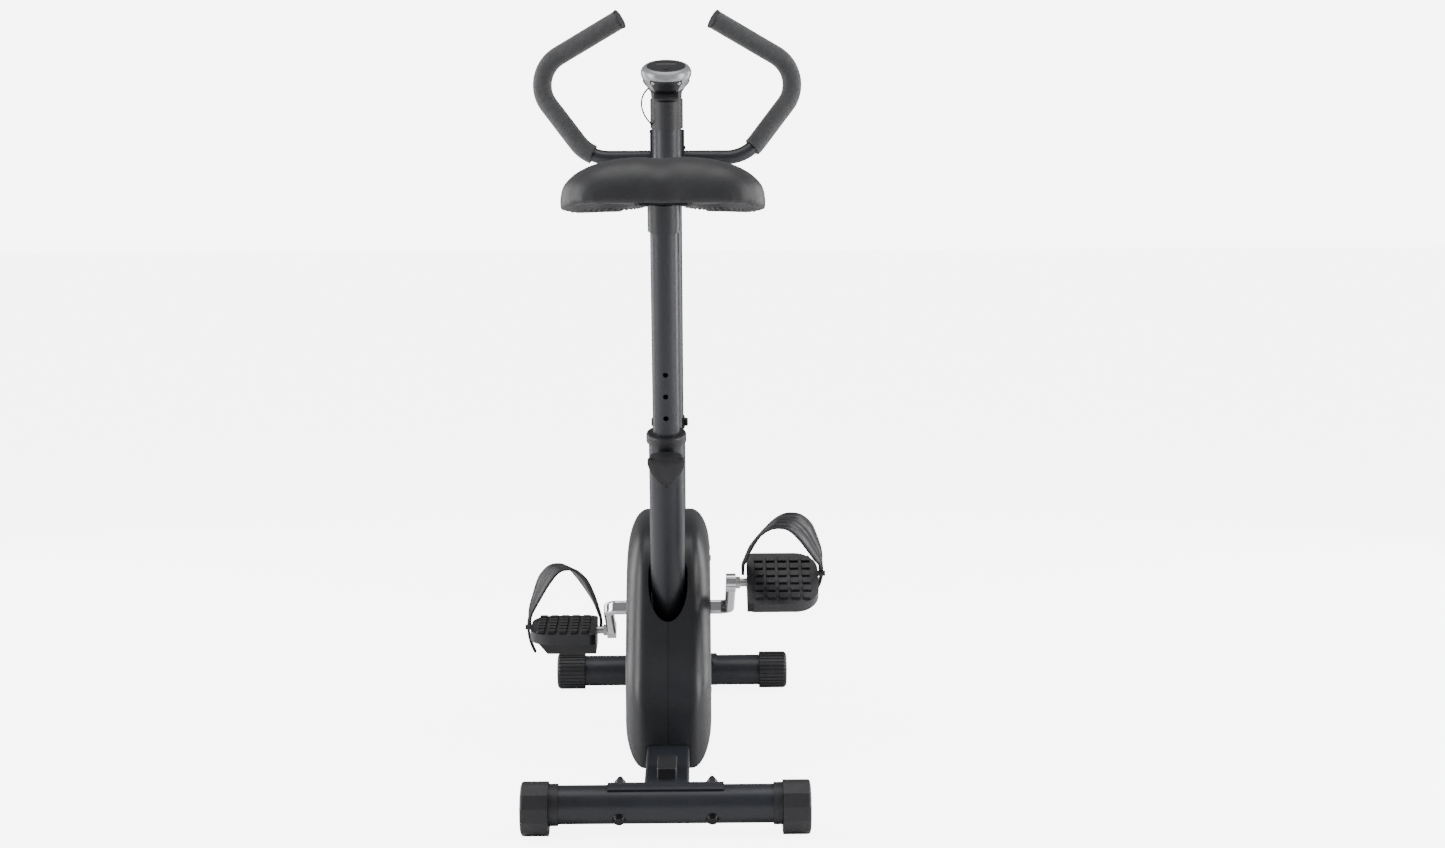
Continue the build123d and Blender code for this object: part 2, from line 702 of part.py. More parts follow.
with BuildPart() as axle_nuts:
    for x in (fork_left - 7, fork_right + fork_plate):
        with BuildSketch(raised(flywheel_axis, x)):
            RegularPolygon(8, 6, major_radius=False)
            Circle(axle_r, mode=Mode.SUBTRACT)
        extrude(amount=7 if x < 0 else nut_thickness)
axle_nuts.part.label = "axle_nuts"
export_step(axle_nuts.part, "parts/axle_nuts.step")

# ---------------------------------------------------------------- magnetic brake
magnet_arc_start = 46.0
magnet_width = 30.0
magnet_left = flywheel_x + flywheel_thickness / 2 - magnet_width / 2
magnet_plate = 3.0
magnet_depth = 4.0
pivot_plane = across(flywheel_y + magnet_pivot_y, flywheel_z + magnet_pivot_z)
with BuildPart() as magnet_bracket:
    with BuildSketch(raised(flywheel_axis, magnet_left)):
        add(ring_sector(magnet_arc_r, magnet_arc_r + magnet_plate, magnet_arc_start,
                        magnet_pivot_angle - magnet_arc_start))
        with Locations((magnet_pivot_y, magnet_pivot_z)):
            Circle(pivot_pin_r + 3)
    extrude(amount=magnet_width)
    with BuildSketch(raised(pivot_plane, magnet_left)):
        Circle(pivot_pin_r + running)
    extrude(amount=magnet_width, mode=Mode.SUBTRACT)
magnet_bracket.part.label = "magnet_bracket"
export_step(magnet_bracket.part, "parts/magnet_bracket.step")

with BuildPart() as brake_magnets:
    with BuildSketch(raised(flywheel_axis, magnet_left + 4)):
        for start in range(4):
            add(ring_sector(magnet_arc_r - magnet_depth, magnet_arc_r, magnet_arc_start + 2 + 18 * start, 14))
    extrude(amount=magnet_width - 8)
brake_magnets.part.label = "brake_magnets"
export_step(brake_magnets.part, "parts/brake_magnets.step")

with BuildPart() as magnet_pin:
    with BuildSketch(raised(pivot_plane, fork_left)):
        Circle(pivot_pin_r)
    extrude(amount=magnet_left + magnet_width + 3 - fork_left)
    with BuildSketch(raised(pivot_plane, fork_left - 3)):
        Circle(pivot_pin_r + 3)
    extrude(amount=3)
magnet_pin.part.label = "magnet_pin"
export_step(magnet_pin.part, "parts/magnet_pin.step")

with BuildPart() as speed_sensor:
    with BuildSketch(raised(crank_axis, seat_tube_od / 2 + 2)):
        with Locations((-54, 6)):
            RectangleRounded(22, 14, 2)
    extrude(amount=pulley_x - seat_tube_od / 2 - 3)
speed_sensor.part.label = "speed_sensor"
export_step(speed_sensor.part, "parts/speed_sensor.step")

# ---------------------------------------------------------------- tension control
tension_width = 34.0
tension_length = 39.0
tension_depth = 9.0
tension_face = post_od / 2 + tension_depth
tension_knob_r = 17.0
tension_knob_depth = 20.0
tension_shaft_r = 3.0
with BuildPart() as tension_plate:
    with BuildSketch(tension_plane):
        RectangleRounded(tension_width, tension_length, 5)
        Circle(tension_shaft_r + running, mode=Mode.SUBTRACT)
    extrude(amount=tension_face)
    with BuildSketch(post_plane):
        Circle(post_od / 2)
    extrude(amount=post_length, mode=Mode.SUBTRACT)
tension_plate.part.label = "tension_plate"
export_step(tension_plate.part, "parts/tension_plate.step")

with BuildPart() as tension_knob:
    with BuildSketch(raised(tension_plane, tension_face + body_gap)):
        Circle(tension_knob_r)
        with PolarLocations(tension_knob_r + 1, 10):
            Circle(3, mode=Mode.SUBTRACT)
    extrude(amount=tension_knob_depth, taper=3)
    with BuildSketch(raised(tension_plane, post_od / 2 + 1)):
        Circle(tension_shaft_r)
    extrude(amount=tension_depth + 2)
tension_knob.part.label = "tension_knob"
export_step(tension_knob.part, "parts/tension_knob.step")

# The tension cable runs down inside the post and the riser, and ends at the riser's back wall.
cable_r = 2.5
cable_lift = 6.0
cable_start = post_plane.from_local_coords((0, -cable_lift, tension_height - 20))
cable_bend = post_plane.from_local_coords((0, -cable_lift, -riser_bend_depth))
with BuildPart() as tension_cable:
    with BuildLine():
        FilletPolyline(cable_start, cable_bend, (0, cable_bend.Y, beam_top + 250), radius=riser_bend_radius)
    with BuildSketch(post_plane.offset(tension_height - 20)):
        with Locations((0, -cable_lift)):
            Circle(cable_r)
    sweep()
tension_cable.part.label = "tension_cable"
export_step(tension_cable.part, "parts/tension_cable.step")

# ---------------------------------------------------------------- housing
housing_middle_y = rear_y + (housing_rear + housing_front) / 2
housing_middle_z = (housing_top + housing_bottom) / 2
housing_half_length = (housing_front - housing_rear) / 2
housing_half_height = (housing_top - housing_bottom) / 2
# Side outline as (forward of the rear axis, height), from the upright rear edge over the top.
housing_outline = [
    (housing_rear, 95), (284, 153), (316, 214), (350, 275), (391, 321),
    (460, housing_top), (560, housing_top - 2), (655, 314), (728, 245), (housing_front, 150),
]


def housing_face(x, inset):
    """The side outline drawn in on all sides by inset, on the plane at x."""

    def drawn_in(forward, height):
        y = rear_y + forward - housing_middle_y
        z = height - housing_middle_z
        return (housing_middle_y + y * (1 - inset / housing_half_length),
                housing_middle_z + z * (1 - inset / housing_half_height))

    corners = [drawn_in(housing_front - 4, housing_bottom), drawn_in(housing_rear, housing_bottom)]
    curve = [drawn_in(*point) for point in housing_outline]
    with BuildSketch(Plane.YZ.offset(x)) as section:
        with BuildLine():
            Line(corners[0], corners[1])
            Line(corners[1], curve[0])
            Spline(*curve, tangents=[(0, 1), (-0.1, -1)])
            Line(curve[-1], corners[0])
        make_face()
    return section.sketch


def housing_half(wall):
    """Right half of the housing's solid, smaller by wall on every side but the split."""
    strip = housing_strip / 2 - wall / 2
    rise = housing_half_width - wall - strip
    with BuildPart() as half:
        extrude(housing_face(0, wall).face(), amount=strip, dir=(1, 0, 0))
    with BuildPart() as flank:
        for inset in (0, 3, 12, 30, housing_round):
            reach = sqrt(1 - (1 - inset / housing_round) ** 2)
            add(housing_face(strip + rise * reach, wall + inset))
        loft()
    return half.part + flank.part


housing_solid = housing_half(0)
housing_cavity = housing_half(housing_wall)
notch_half_width = seat_tube_od / 2 + 3.5
notch_bottom = 212.0
notch_height = 52.0
crank_hole_r = 17.0
screw_head_r = 4.5
screw_head = 1.6
# Screw places as (forward of the flywheel axle, above it), on the flat of the flank.
seam_gap = 0.6                # between the two halves, all round
screw_places = [(-70, 100), (95, 88), (112, -88), (-120, -92), (-232, -30)]

with BuildPart() as housing_right:
    add(housing_solid)
    add(housing_cavity, mode=Mode.SUBTRACT)
    with BuildSketch(raised(seat_plane, -250)):
        Circle(notch_half_width)
    extrude(amount=250, mode=Mode.SUBTRACT)
    with BuildSketch(Plane.XZ.offset(-rear_y)):
        with Locations((0, notch_bottom + notch_height)):
            Ellipse(notch_half_width, notch_height)
            Rectangle(2 * notch_half_width, 2 * notch_height, align=(Align.CENTER, Align.MIN))
    extrude(amount=-(seat_plane.origin.Y - rear_y + 60), mode=Mode.SUBTRACT)
    with BuildSketch(Plane.XY.offset(housing_middle_z)):
        with Locations((0, front_tube_y)):
            Circle(front_tube_od / 2 + cover_gap)
    extrude(amount=housing_half_height + 20, mode=Mode.SUBTRACT)
    with BuildSketch(Plane.XZ.offset(-rear_y)):
        with Locations((0, beam_bottom + beam_height / 2)):
            RectangleRounded(beam_width + cover_gap, beam_height + cover_gap / 2, 4)
    extrude(amount=-wheelbase, mode=Mode.SUBTRACT)
    with BuildSketch(raised(crank_axis, housing_half_width - 10)):
        Circle(crank_hole_r)
    extrude(amount=20, mode=Mode.SUBTRACT)
    split(bisect_by=Plane.YZ.offset(seam_gap / 2), keep=Keep.TOP)
housing_right.part.label = "housing_right"
export_step(housing_right.part, "parts/housing_right.step")

with BuildPart() as housing_left:
    add(housing_right.part.mirror(Plane.YZ))
housing_left.part.label = "housing_left"
export_step(housing_left.part, "parts/housing_left.step")

# ---------------------------------------------------------------- seat
post_tail = 115.0             # seat post below the locking pin
post_bottom = -pin_depth - post_tail
with BuildPart() as seat_post:
    with BuildSketch(raised(seat_plane, post_bottom)):
        Circle(seat_post_od / 2)
    extrude(amount=seat_post_rise - post_bottom)
    with BuildSketch(raised(seat_plane, post_bottom)):
        Circle(seat_post_od / 2 - tube_wall)
    extrude(amount=seat_post_rise - post_bottom, mode=Mode.SUBTRACT)
    for step in range(-seat_holes_below, seat_holes_above + 1):
        hole_plane = Plane(seat_plane.from_local_coords((0, 0, step * seat_hole_pitch - pin_depth)),
                           x_dir=(1, 0, 0), z_dir=-seat_plane.y_dir)
        with BuildSketch(hole_plane):
            Circle(seat_hole_r)
        extrude(amount=seat_post_od, mode=Mode.SUBTRACT)
seat_post.part.label = "seat_post"
export_step(seat_post.part, "parts/seat_post.step")

pin_tip = seat_post_od / 2 + pull_clear
knob_start = pin_boss_top + body_gap
knob_depth = 25.0
with BuildPart() as seat_pin:
    with BuildSketch(raised(pin_plane, pin_tip)):
        Circle(pin_r)
    extrude(amount=knob_start - pin_tip)
    with BuildSketch(raised(pin_plane, knob_start)):
        with BuildLine():
            ThreePointArc((-24, 16), (0, 21), (24, 16))
            ThreePointArc((24, 16), (17, -8), (0, -25))
            ThreePointArc((0, -25), (-17, -8), (-24, 16))
        make_face()
    extrude(amount=knob_depth)
    knob_edges = seat_pin.edges().filter_by(Axis(pin_plane.origin, pin_plane.z_dir))
    fillet(knob_edges.filter_by(lambda edge: edge.length > knob_depth - 1), radius=6)
    fillet(seat_pin.faces().sort_by(Axis(pin_plane.origin, pin_plane.z_dir))[-1].edges(), radius=3)
seat_pin.part.label = "seat_pin"
export_step(seat_pin.part, "parts/seat_pin.step")

seat_top = seat_plane.from_local_coords((0, 0, seat_post_rise))
saddle_rear = seat_top.Y - saddle_overhang
saddle_half = saddle_width / 2
nose_half = 32.0
pan_inset = 16.0
pan_thickness = 5.0
pan_depth = 16.0
plate_thickness = 4.0
plate_width = 76.0
plate_length = 96.0
pan_bottom = saddle_bottom + pan_depth - pan_thickness


def saddle_face(z, inset):
    """Plan of the saddle drawn in by inset: a broad tail that narrows to a rounded nose."""
    width = 1 - inset / saddle_half
    length = 1 - 2 * inset / saddle_length
    middle = saddle_rear + saddle_length / 2
    right = [(saddle_half * 0.5, 0.0), (saddle_half * 0.88, 16.0), (saddle_half, 62.0),
             (saddle_half * 0.86, 112.0), (saddle_half * 0.52, 160.0), (nose_half + 6, 205.0),
             (nose_half - 4, saddle_length - 18)]
    outline = [(0.0, 6.0)] + right + [(0.0, saddle_length)]
    outline += [(-x, y) for x, y in reversed(right)]
    points = [(x * width, middle + (saddle_rear + y - middle) * length) for x, y in outline]
    with BuildSketch(Plane.XY.offset(z)) as plan:
        with BuildLine():
            Spline(*points, periodic=True)
        make_face()
    return plan.sketch


with BuildPart() as saddle_cushion:
    add(saddle_face(saddle_bottom, 4))
    add(saddle_face(saddle_bottom + saddle_thickness * 0.35, 0))
    add(saddle_face(saddle_bottom + saddle_thickness * 0.7, 5))
    add(saddle_face(saddle_bottom + saddle_thickness * 0.92, 17))
    add(saddle_face(saddle_bottom + saddle_thickness, 34))
    loft()
    extrude(saddle_face(saddle_bottom, pan_inset - 1).face(), amount=pan_depth, dir=(0, 0, 1),
            mode=Mode.SUBTRACT)
saddle_cushion.part.label = "saddle_cushion"
export_step(saddle_cushion.part, "parts/saddle_cushion.step")

with BuildPart() as saddle_pan:
    extrude(saddle_face(pan_bottom, pan_inset).face(), amount=pan_thickness, dir=(0, 0, 1))
saddle_pan.part.label = "saddle_pan"
export_step(saddle_pan.part, "parts/saddle_pan.step")

# A steel plate under the pan is bolted to it, and a socket below the plate takes the post.
with BuildPart() as saddle_plate:
    with BuildSketch(Plane.XY.offset(pan_bottom - plate_thickness)):
        with Locations((0, seat_top.Y)):
            RectangleRounded(plate_width, plate_length, 10)
    extrude(amount=plate_thickness)
    with BuildSketch(raised(seat_plane, seat_post_rise - 26)):
        Circle(seat_post_od / 2 + 3)
    extrude(amount=40)
    with BuildSketch(raised(seat_plane, seat_post_rise - 26)):
        Circle(seat_post_od / 2)
    extrude(amount=26, mode=Mode.SUBTRACT)
    split(bisect_by=Plane.XY.offset(pan_bottom), keep=Keep.BOTTOM)
saddle_plate.part.label = "saddle_plate"
export_step(saddle_plate.part, "parts/saddle_plate.step")

# ---------------------------------------------------------------- handlebar
bar_y = rear_y + bar_forward
bar_wall = 1.8
elbow = (122.0, bar_y, bar_z)
wrist = (222.0, bar_y + 44, bar_z + 130)
bar_end = (74.6, bar_y + 2, bar_z + 212)
elbow_radius = 60.0
wrist_radius = 50.0
left_grip_share = 0.55        # how far each grip goes round the elbow's bend, from the wrist side
right_grip_share = 0.2


def bar_wire():
    points = [bar_end, wrist, elbow]
    return FilletPolyline(*[(-x, y, z) for x, y, z in points], *reversed(points),
                          radius=(wrist_radius, elbow_radius, elbow_radius, wrist_radius), mode=Mode.PRIVATE)


bar_path = bar_wire()
bar_edges = bar_path.edges()
left_end_plane = Plane(bar_path @ 0, z_dir=bar_path % 0)
right_end_plane = Plane(bar_path @ 1, z_dir=-(bar_path % 1))

with BuildPart() as handlebar:
    with BuildSketch(left_end_plane):
        Circle(bar_od / 2)
        Circle(bar_od / 2 - bar_wall, mode=Mode.SUBTRACT)
    sweep(path=bar_path)
handlebar.part.label = "handlebar"
export_step(handlebar.part, "parts/handlebar.step")

with BuildPart() as handlebar_grips:
    for plane, edges, share in (
        (left_end_plane, bar_edges[0:4], left_grip_share),
        (right_end_plane, [edge.reversed() for edge in reversed(bar_edges[-4:])], right_grip_share),
    ):
        bend = edges[3].trim(0, share)
        with BuildSketch(plane):
            Circle(grip_od / 2)
            Circle(bar_od / 2, mode=Mode.SUBTRACT)
        sweep(path=Wire(list(edges[0:3]) + [bend]))
handlebar_grips.part.label = "handlebar_grips"
export_step(handlebar_grips.part, "parts/handlebar_grips.step")

grip_cap_r = grip_od / 2 + 0.8
grip_cap_rim = 4.0
with BuildPart() as grip_caps:
    for plane in (left_end_plane, right_end_plane):
        with BuildSketch(plane):
            Circle(grip_cap_r)
        extrude(amount=-grip_cap_rim)
        with BuildSketch(plane):
            Circle(bar_od / 2 - bar_wall)
        extrude(amount=16)
    cap_rims = grip_caps.edges().filter_by(GeomType.CIRCLE)
    fillet(cap_rims.filter_by(lambda edge: edge.radius > grip_cap_r - 0.1), radius=1.2)
grip_caps.part.label = "grip_caps"
export_step(grip_caps.part, "parts/grip_caps.step")

clamp_bottom = bar_z - 19
clamp_top = bar_z + 42
clamp_bolt_z = bar_z + 28
clamp_split = 2.0
clamp_cap_front = bar_y + bar_od / 2 + 8
clamp_hole_r = 4.2
with BuildPart() as handlebar_clamp:
    with BuildSketch(across(bar_y, bar_z)):
        with Locations((0, (clamp_bottom + clamp_top) / 2 - bar_z)):
            RectangleRounded(2 * (clamp_cap_front - bar_y), clamp_top - clamp_bottom, 7)
            Rectangle(bar_od / 2 + 30, clamp_top - clamp_bottom, align=(Align.MAX, Align.CENTER))
    extrude(amount=clamp_width / 2, both=True)
    with BuildSketch(across(bar_y, bar_z)):
        Circle(bar_od / 2 + running)
        with Locations((0, (clamp_top - bar_z) / 2)):
            Rectangle(clamp_split, clamp_top - bar_z + 1)
    extrude(amount=clamp_width, both=True, mode=Mode.SUBTRACT)
    with BuildSketch(across(bar_y, clamp_bottom)):
        Rectangle(clamp_split, bar_z - clamp_bottom, align=(Align.CENTER, Align.MIN))
    extrude(amount=clamp_width, both=True, mode=Mode.SUBTRACT)
    with BuildSketch(post_plane):
        Circle(post_od / 2)
    extrude(amount=post_length, mode=Mode.SUBTRACT)
    with BuildSketch(Plane((0, bar_y - 24, clamp_bolt_z), x_dir=(1, 0, 0), z_dir=(0, 1, 0))):
        Circle(clamp_hole_r)
    extrude(amount=60, mode=Mode.SUBTRACT)
handlebar_clamp.part.label = "handlebar_clamp"
export_step(handlebar_clamp.part, "parts/handlebar_clamp.step")

lever_plane = Plane((0, clamp_cap_front + body_gap, clamp_bolt_z), x_dir=(-1, 0, 0), z_dir=(0, 1, 0))
lever_angle = -27.0
lever_length = 54.0
with BuildPart() as clamp_lever:
    with BuildSketch(lever_plane):
        Circle(11)
        with Locations(Location((0, 0), 180 - lever_angle)):
            SlotCenterToCenter(lever_length, 9)
    extrude(amount=9)
    with BuildSketch(lever_plane):
        Circle(11)
    extrude(amount=14)
    with BuildSketch(raised(lever_plane, -38)):
        Circle(clamp_hole_r - 0.2)
    extrude(amount=38)
clamp_lever.part.label = "clamp_lever"
export_step(clamp_lever.part, "parts/clamp_lever.step")

# ---------------------------------------------------------------- console
console_face_z = 1015.0
console_face_y = rear_y + 553.0
console_plane = Plane((0, console_face_y, console_face_z), x_dir=(1, 0, 0),
                      z_dir=(0, -sin(radians(console_tilt)), cos(radians(console_tilt))))
neck_width = 46.0
neck_length = 42.0
sleeve_wall = 2.5
sleeve_od = post_od + 2 * sleeve_wall
sleeve_bottom = 500.0         # along the post from the seam
sleeve_top = 543.0
face_recess = 2.0

console_root = -34.0          # bottom of the shell, below the face
console_rim = 7.0
shell_gap = 0.2
chin_width = 48.0             # black cover under the face, on the rider's side
chin_depth = 10.0
chin_top = -13.0

with BuildPart() as console_form:
    with BuildSketch(raised(console_plane, console_root + shell_gap)):
        with Locations((0, -3)):
            Ellipse(console_width / 2 - 14, console_length / 2 - 12)
    with BuildSketch(raised(console_plane, -26)):
        with Locations((0, -2)):
            Ellipse(console_width / 2 - 6.5, console_length / 2 - 6)
    with BuildSketch(raised(console_plane, -16)):
        Ellipse(console_width / 2 - 1.2, console_length / 2 - 1)
    with BuildSketch(raised(console_plane, -9)):
        Ellipse(console_width / 2, console_length / 2)
    with BuildSketch(raised(console_plane, -3)):
        Ellipse(console_width / 2 - 2.5, console_length / 2 - 2.5)
    with BuildSketch(console_plane):
        Ellipse(console_width / 2 - console_rim + 0.5, console_length / 2 - console_rim + 0.5)
    loft()

with BuildPart() as console_chin:
    add(console_form.part)
    with BuildSketch(raised(console_plane, console_root)):
        with Locations((0, -console_length / 2)):
            Rectangle(chin_width, 2 * chin_depth)
    extrude(amount=chin_top - console_root, mode=Mode.INTERSECT)

with BuildPart() as post_sleeve:
    with BuildSketch(raised(post_plane, sleeve_bottom)):
        Circle(sleeve_od / 2)
    extrude(amount=sleeve_top - sleeve_bottom)
    with BuildSketch(raised(post_plane, sleeve_bottom)):
        Circle(post_od / 2)
    extrude(amount=post_length - sleeve_bottom, mode=Mode.SUBTRACT)
    with BuildSketch(raised(post_plane, sleeve_top)):
        RectangleRounded(neck_width, neck_length, 12)
    with BuildSketch(raised(console_plane, console_root + shell_gap)):
        with Locations((0, -3)):
            Ellipse(console_width / 2 - 14, console_length / 2 - 12)
    loft()
    with BuildSketch(raised(console_plane, console_root)):
        Rectangle(2 * console_width, 2 * console_length)
    extrude(amount=shell_gap, mode=Mode.SUBTRACT)
    with BuildSketch(raised(console_plane, console_root)):
        with Locations((0, -console_length / 2)):
            Rectangle(chin_width - 12, 2 * chin_depth + 8)
    extrude(amount=shell_gap)
    add(console_chin.part)
post_sleeve.part.label = "post_sleeve"
export_step(post_sleeve.part, "parts/post_sleeve.step")

with BuildPart() as console_shell:
    add(console_form.part)
    with BuildSketch(raised(console_plane, console_root)):
        with Locations((0, -console_length / 2)):
            Rectangle(chin_width + 2 * shell_gap, 2 * (chin_depth + shell_gap))
    extrude(amount=chin_top - console_root + shell_gap, mode=Mode.SUBTRACT)
    with BuildSketch(raised(console_plane, -24)):
        Ellipse(console_width / 2 - console_rim - 4, console_length / 2 - console_rim - 4)
    extrude(amount=24, mode=Mode.SUBTRACT)
    with BuildSketch(raised(console_plane, -face_recess)):
        Ellipse(console_width / 2 - console_rim - 2, console_length / 2 - console_rim - 2)
    extrude(amount=face_recess, mode=Mode.SUBTRACT)
console_shell.part.label = "console_shell"
export_step(console_shell.part, "parts/console_shell.step")

display_width = 30.0
display_length = 13.0
display_ahead = 11.0
button_r = 5.0
button_ahead = -11.0
button_travel = 0.8
face_gap = 0.2
with BuildPart() as console_face:
    with BuildSketch(raised(console_plane, -face_recess)):
        Ellipse(console_width / 2 - console_rim - 2 - face_gap, console_length / 2 - console_rim - 2 - face_gap)
        with Locations((0, display_ahead)):
            Rectangle(display_width + 2 * face_gap, display_length + 2 * face_gap, mode=Mode.SUBTRACT)
        with Locations((0, button_ahead)):
            Circle(button_r + body_gap, mode=Mode.SUBTRACT)
    extrude(amount=face_recess)
console_face.part.label = "console_face"
export_step(console_face.part, "parts/console_face.step")

with BuildPart() as console_display:
    with BuildSketch(raised(console_plane, -face_recess - 3)):
        with Locations((0, display_ahead)):
            Rectangle(display_width, display_length)
    extrude(amount=face_recess + 2.4)
console_display.part.label = "console_display"
export_step(console_display.part, "parts/console_display.step")

with BuildPart() as mode_button:
    with BuildSketch(raised(console_plane, -face_recess - 1)):
        with Locations((0, button_ahead)):
            Circle(button_r)
    extrude(amount=face_recess + 1 + button_travel)
mode_button.part.label = "mode_button"
export_step(mode_button.part, "parts/mode_button.step")

# The sensor lead leaves the console, hangs in a short loop beside the sleeve and goes into the post.
lead_r = 1.3
lead_points = [(-24, 560, 985), (-31, 558, 979), (-37, 556, 968), (-38, 556, 955),
               (-34, 558, 943), (-29, 562, 935), (-22, 572, 927.5)]
lead_route = [Vector(x, rear_y + y, z) for x, y, z in lead_points]
lead_radii = []
for before, here, after in zip(lead_route, lead_route[1:], lead_route[2:]):
    turn = (here - before).get_angle(after - here)
    shorter = min((here - before).length, (after - here).length)
    lead_radii.append(0.45 * shorter / tan(radians(turn / 2)))
print("sensor lead radii", [round(radius, 1) for radius in lead_radii])
with BuildPart() as sensor_lead:
    with BuildLine() as lead_line:
        FilletPolyline(*lead_route, radius=lead_radii)
    with BuildSketch(Plane(lead_route[0], z_dir=lead_route[1] - lead_route[0])):
        Circle(lead_r)
    sweep()
print("sensor lead length", round(sum(edge.length for edge in lead_line.edges()), 1))
sensor_lead.part.label = "sensor_lead"
export_step(sensor_lead.part, "parts/sensor_lead.step")

# ---------------------------------------------------------------- pedals
pedal_bore = 6.0
pedal_outer_x = pedal_width / 2
tread_height = 4.0
box_depth = 21.0
strap_forward = 26.0          # middle of the strap, ahead of the spindle
strap_half = pedal_outer_x + 5
peg_reach = 11.0
peg_r = 4.0
spindle_collar_r = 9.0

with BuildPart() as pedal_spindles:
    for side, sign in sides.items():
        centre = pedal_centres[side]
        boss_plane = across(centre.Y, centre.Z).offset(sign * (crank_boss_x - crank_thickness / 2))
        with BuildSketch(boss_plane):
            Circle(pedal_thread_r)
        extrude(amount=sign * crank_thickness)
        with BuildSketch(boss_plane.offset(sign * crank_thickness)):
            RegularPolygon(spindle_collar_r, 6)
        extrude(amount=sign * 6)
        with BuildSketch(boss_plane):
            Circle(pedal_bore)
        extrude(amount=sign * (pedal_x + pedal_outer_x - 12 - crank_boss_x + crank_thickness / 2))
pedal_spindles.part.label = "pedal_spindles"
export_step(pedal_spindles.part, "parts/pedal_spindles.step")

for side, sign in sides.items():
    centre = pedal_centres[side]
    tilt = radians(pedal_tilts[side])
    pedal_plane = Plane(centre, x_dir=(1, 0, 0), z_dir=(0, -sin(tilt), cos(tilt)))
    pedal_top = pedal_thickness / 2
    peg_plane = Plane(pedal_plane.from_local_coords((sign * (pedal_outer_x - 5), strap_forward - 8, 0)),
                      x_dir=(0, 1, 0), z_dir=(sign, 0, 0))
    with BuildPart() as pedal:
        with BuildSketch(raised(pedal_plane, -pedal_top)):
            pad = Rectangle(pedal_width, pedal_length)
            outer_corners = pad.vertices().group_by(Axis.X)[-1 if sign > 0 else 0]
            fillet(outer_corners, radius=34)
        extrude(amount=pedal_thickness)
        inner_edges = pedal.edges().filter_by(Axis(pedal_plane.origin, pedal_plane.z_dir))
        fillet(inner_edges.group_by(Axis.X)[0 if sign > 0 else -1], radius=10)
        with BuildSketch(raised(pedal_plane, pedal_top)):
            with BuildSketch(mode=Mode.PRIVATE) as pad_inside:
                edge_inset = Rectangle(pedal_width - 8, pedal_length - 8)
                fillet(edge_inset.vertices(), radius=24)
            with GridLocations(pedal_width / 6, pedal_length / 7, 5, 6):
                RectangleRounded(pedal_width / 6 - 4, pedal_length / 7 - 4, 2)
            add(pad_inside.sketch, mode=Mode.INTERSECT)
        extrude(amount=tread_height, taper=8)
        with BuildSketch(Plane(pedal_plane.origin, x_dir=(sign, 0, 0), z_dir=-sign * pedal_plane.y_dir)):
            Polygon((-pedal_outer_x, -pedal_top + 1), (pedal_outer_x - 8, -pedal_top + 1),
                    (pedal_outer_x - 26, -pedal_top - box_depth), (-pedal_outer_x, -pedal_top - box_depth),
                    align=None)
        extrude(amount=30, both=True)
        with BuildSketch(Plane(pedal_plane.from_local_coords((-sign * pedal_outer_x, 0, 0)),
                               x_dir=(0, 1, 0), z_dir=(sign, 0, 0))):
            Circle(pedal_bore + running)
        extrude(amount=2 * pedal_outer_x - 10, mode=Mode.SUBTRACT)
        with BuildSketch(peg_plane):
            Circle(peg_r)
        extrude(amount=peg_reach + 5)
    pedal.part.label = f"pedal_{side}"
    export_step(pedal.part, f"parts/pedal_{side}.step")

    with BuildPart() as strap:
        with BuildSketch(Plane(pedal_plane.from_local_coords((0, strap_forward, 0)), x_dir=(1, 0, 0),
                               z_dir=-pedal_plane.y_dir)):
            Ellipse(strap_half, strap_height)
            Ellipse(strap_half - strap_thickness, strap_height - strap_thickness, mode=Mode.SUBTRACT)
            with Locations((0, -pedal_top)):
                Rectangle(2 * strap_half, strap_height, align=(Align.CENTER, Align.MAX), mode=Mode.SUBTRACT)
        extrude(amount=strap_width / 2, both=True)
        with BuildSketch(peg_plane):
            Circle(peg_r)
        extrude(amount=peg_reach + 5, mode=Mode.SUBTRACT)
    strap.part.label = f"strap_{side}"
    export_step(strap.part, f"parts/strap_{side}.step")

# ---------------------------------------------------------------- screws
with BuildPart() as housing_screws:
    with BuildSketch(raised(flywheel_axis, housing_half_width)):
        with Locations(*screw_places):
            Circle(screw_head_r)
    extrude(amount=screw_head, taper=20)
housing_screws.part.label = "housing_screws"
export_step(housing_screws.part, "parts/housing_screws.step")
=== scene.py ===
import json
import math

import bmesh
import bpy
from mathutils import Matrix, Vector, noise


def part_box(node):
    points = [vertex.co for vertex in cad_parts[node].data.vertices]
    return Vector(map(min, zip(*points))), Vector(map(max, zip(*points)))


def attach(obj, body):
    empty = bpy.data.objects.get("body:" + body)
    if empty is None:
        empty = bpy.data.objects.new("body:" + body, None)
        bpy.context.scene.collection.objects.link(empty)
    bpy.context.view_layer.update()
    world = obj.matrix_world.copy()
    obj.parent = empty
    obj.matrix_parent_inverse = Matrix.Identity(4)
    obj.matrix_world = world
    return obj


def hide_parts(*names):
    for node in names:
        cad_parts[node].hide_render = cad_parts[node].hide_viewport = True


MM = 0.001

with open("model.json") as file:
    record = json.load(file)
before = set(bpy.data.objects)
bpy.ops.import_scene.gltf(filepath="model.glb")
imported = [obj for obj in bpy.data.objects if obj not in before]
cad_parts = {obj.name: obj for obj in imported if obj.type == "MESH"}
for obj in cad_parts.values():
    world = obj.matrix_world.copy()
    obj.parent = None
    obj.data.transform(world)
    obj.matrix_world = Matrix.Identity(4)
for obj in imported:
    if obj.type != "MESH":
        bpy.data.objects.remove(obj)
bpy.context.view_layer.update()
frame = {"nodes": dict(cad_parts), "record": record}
nodes = frame["nodes"]
scene = bpy.context.scene


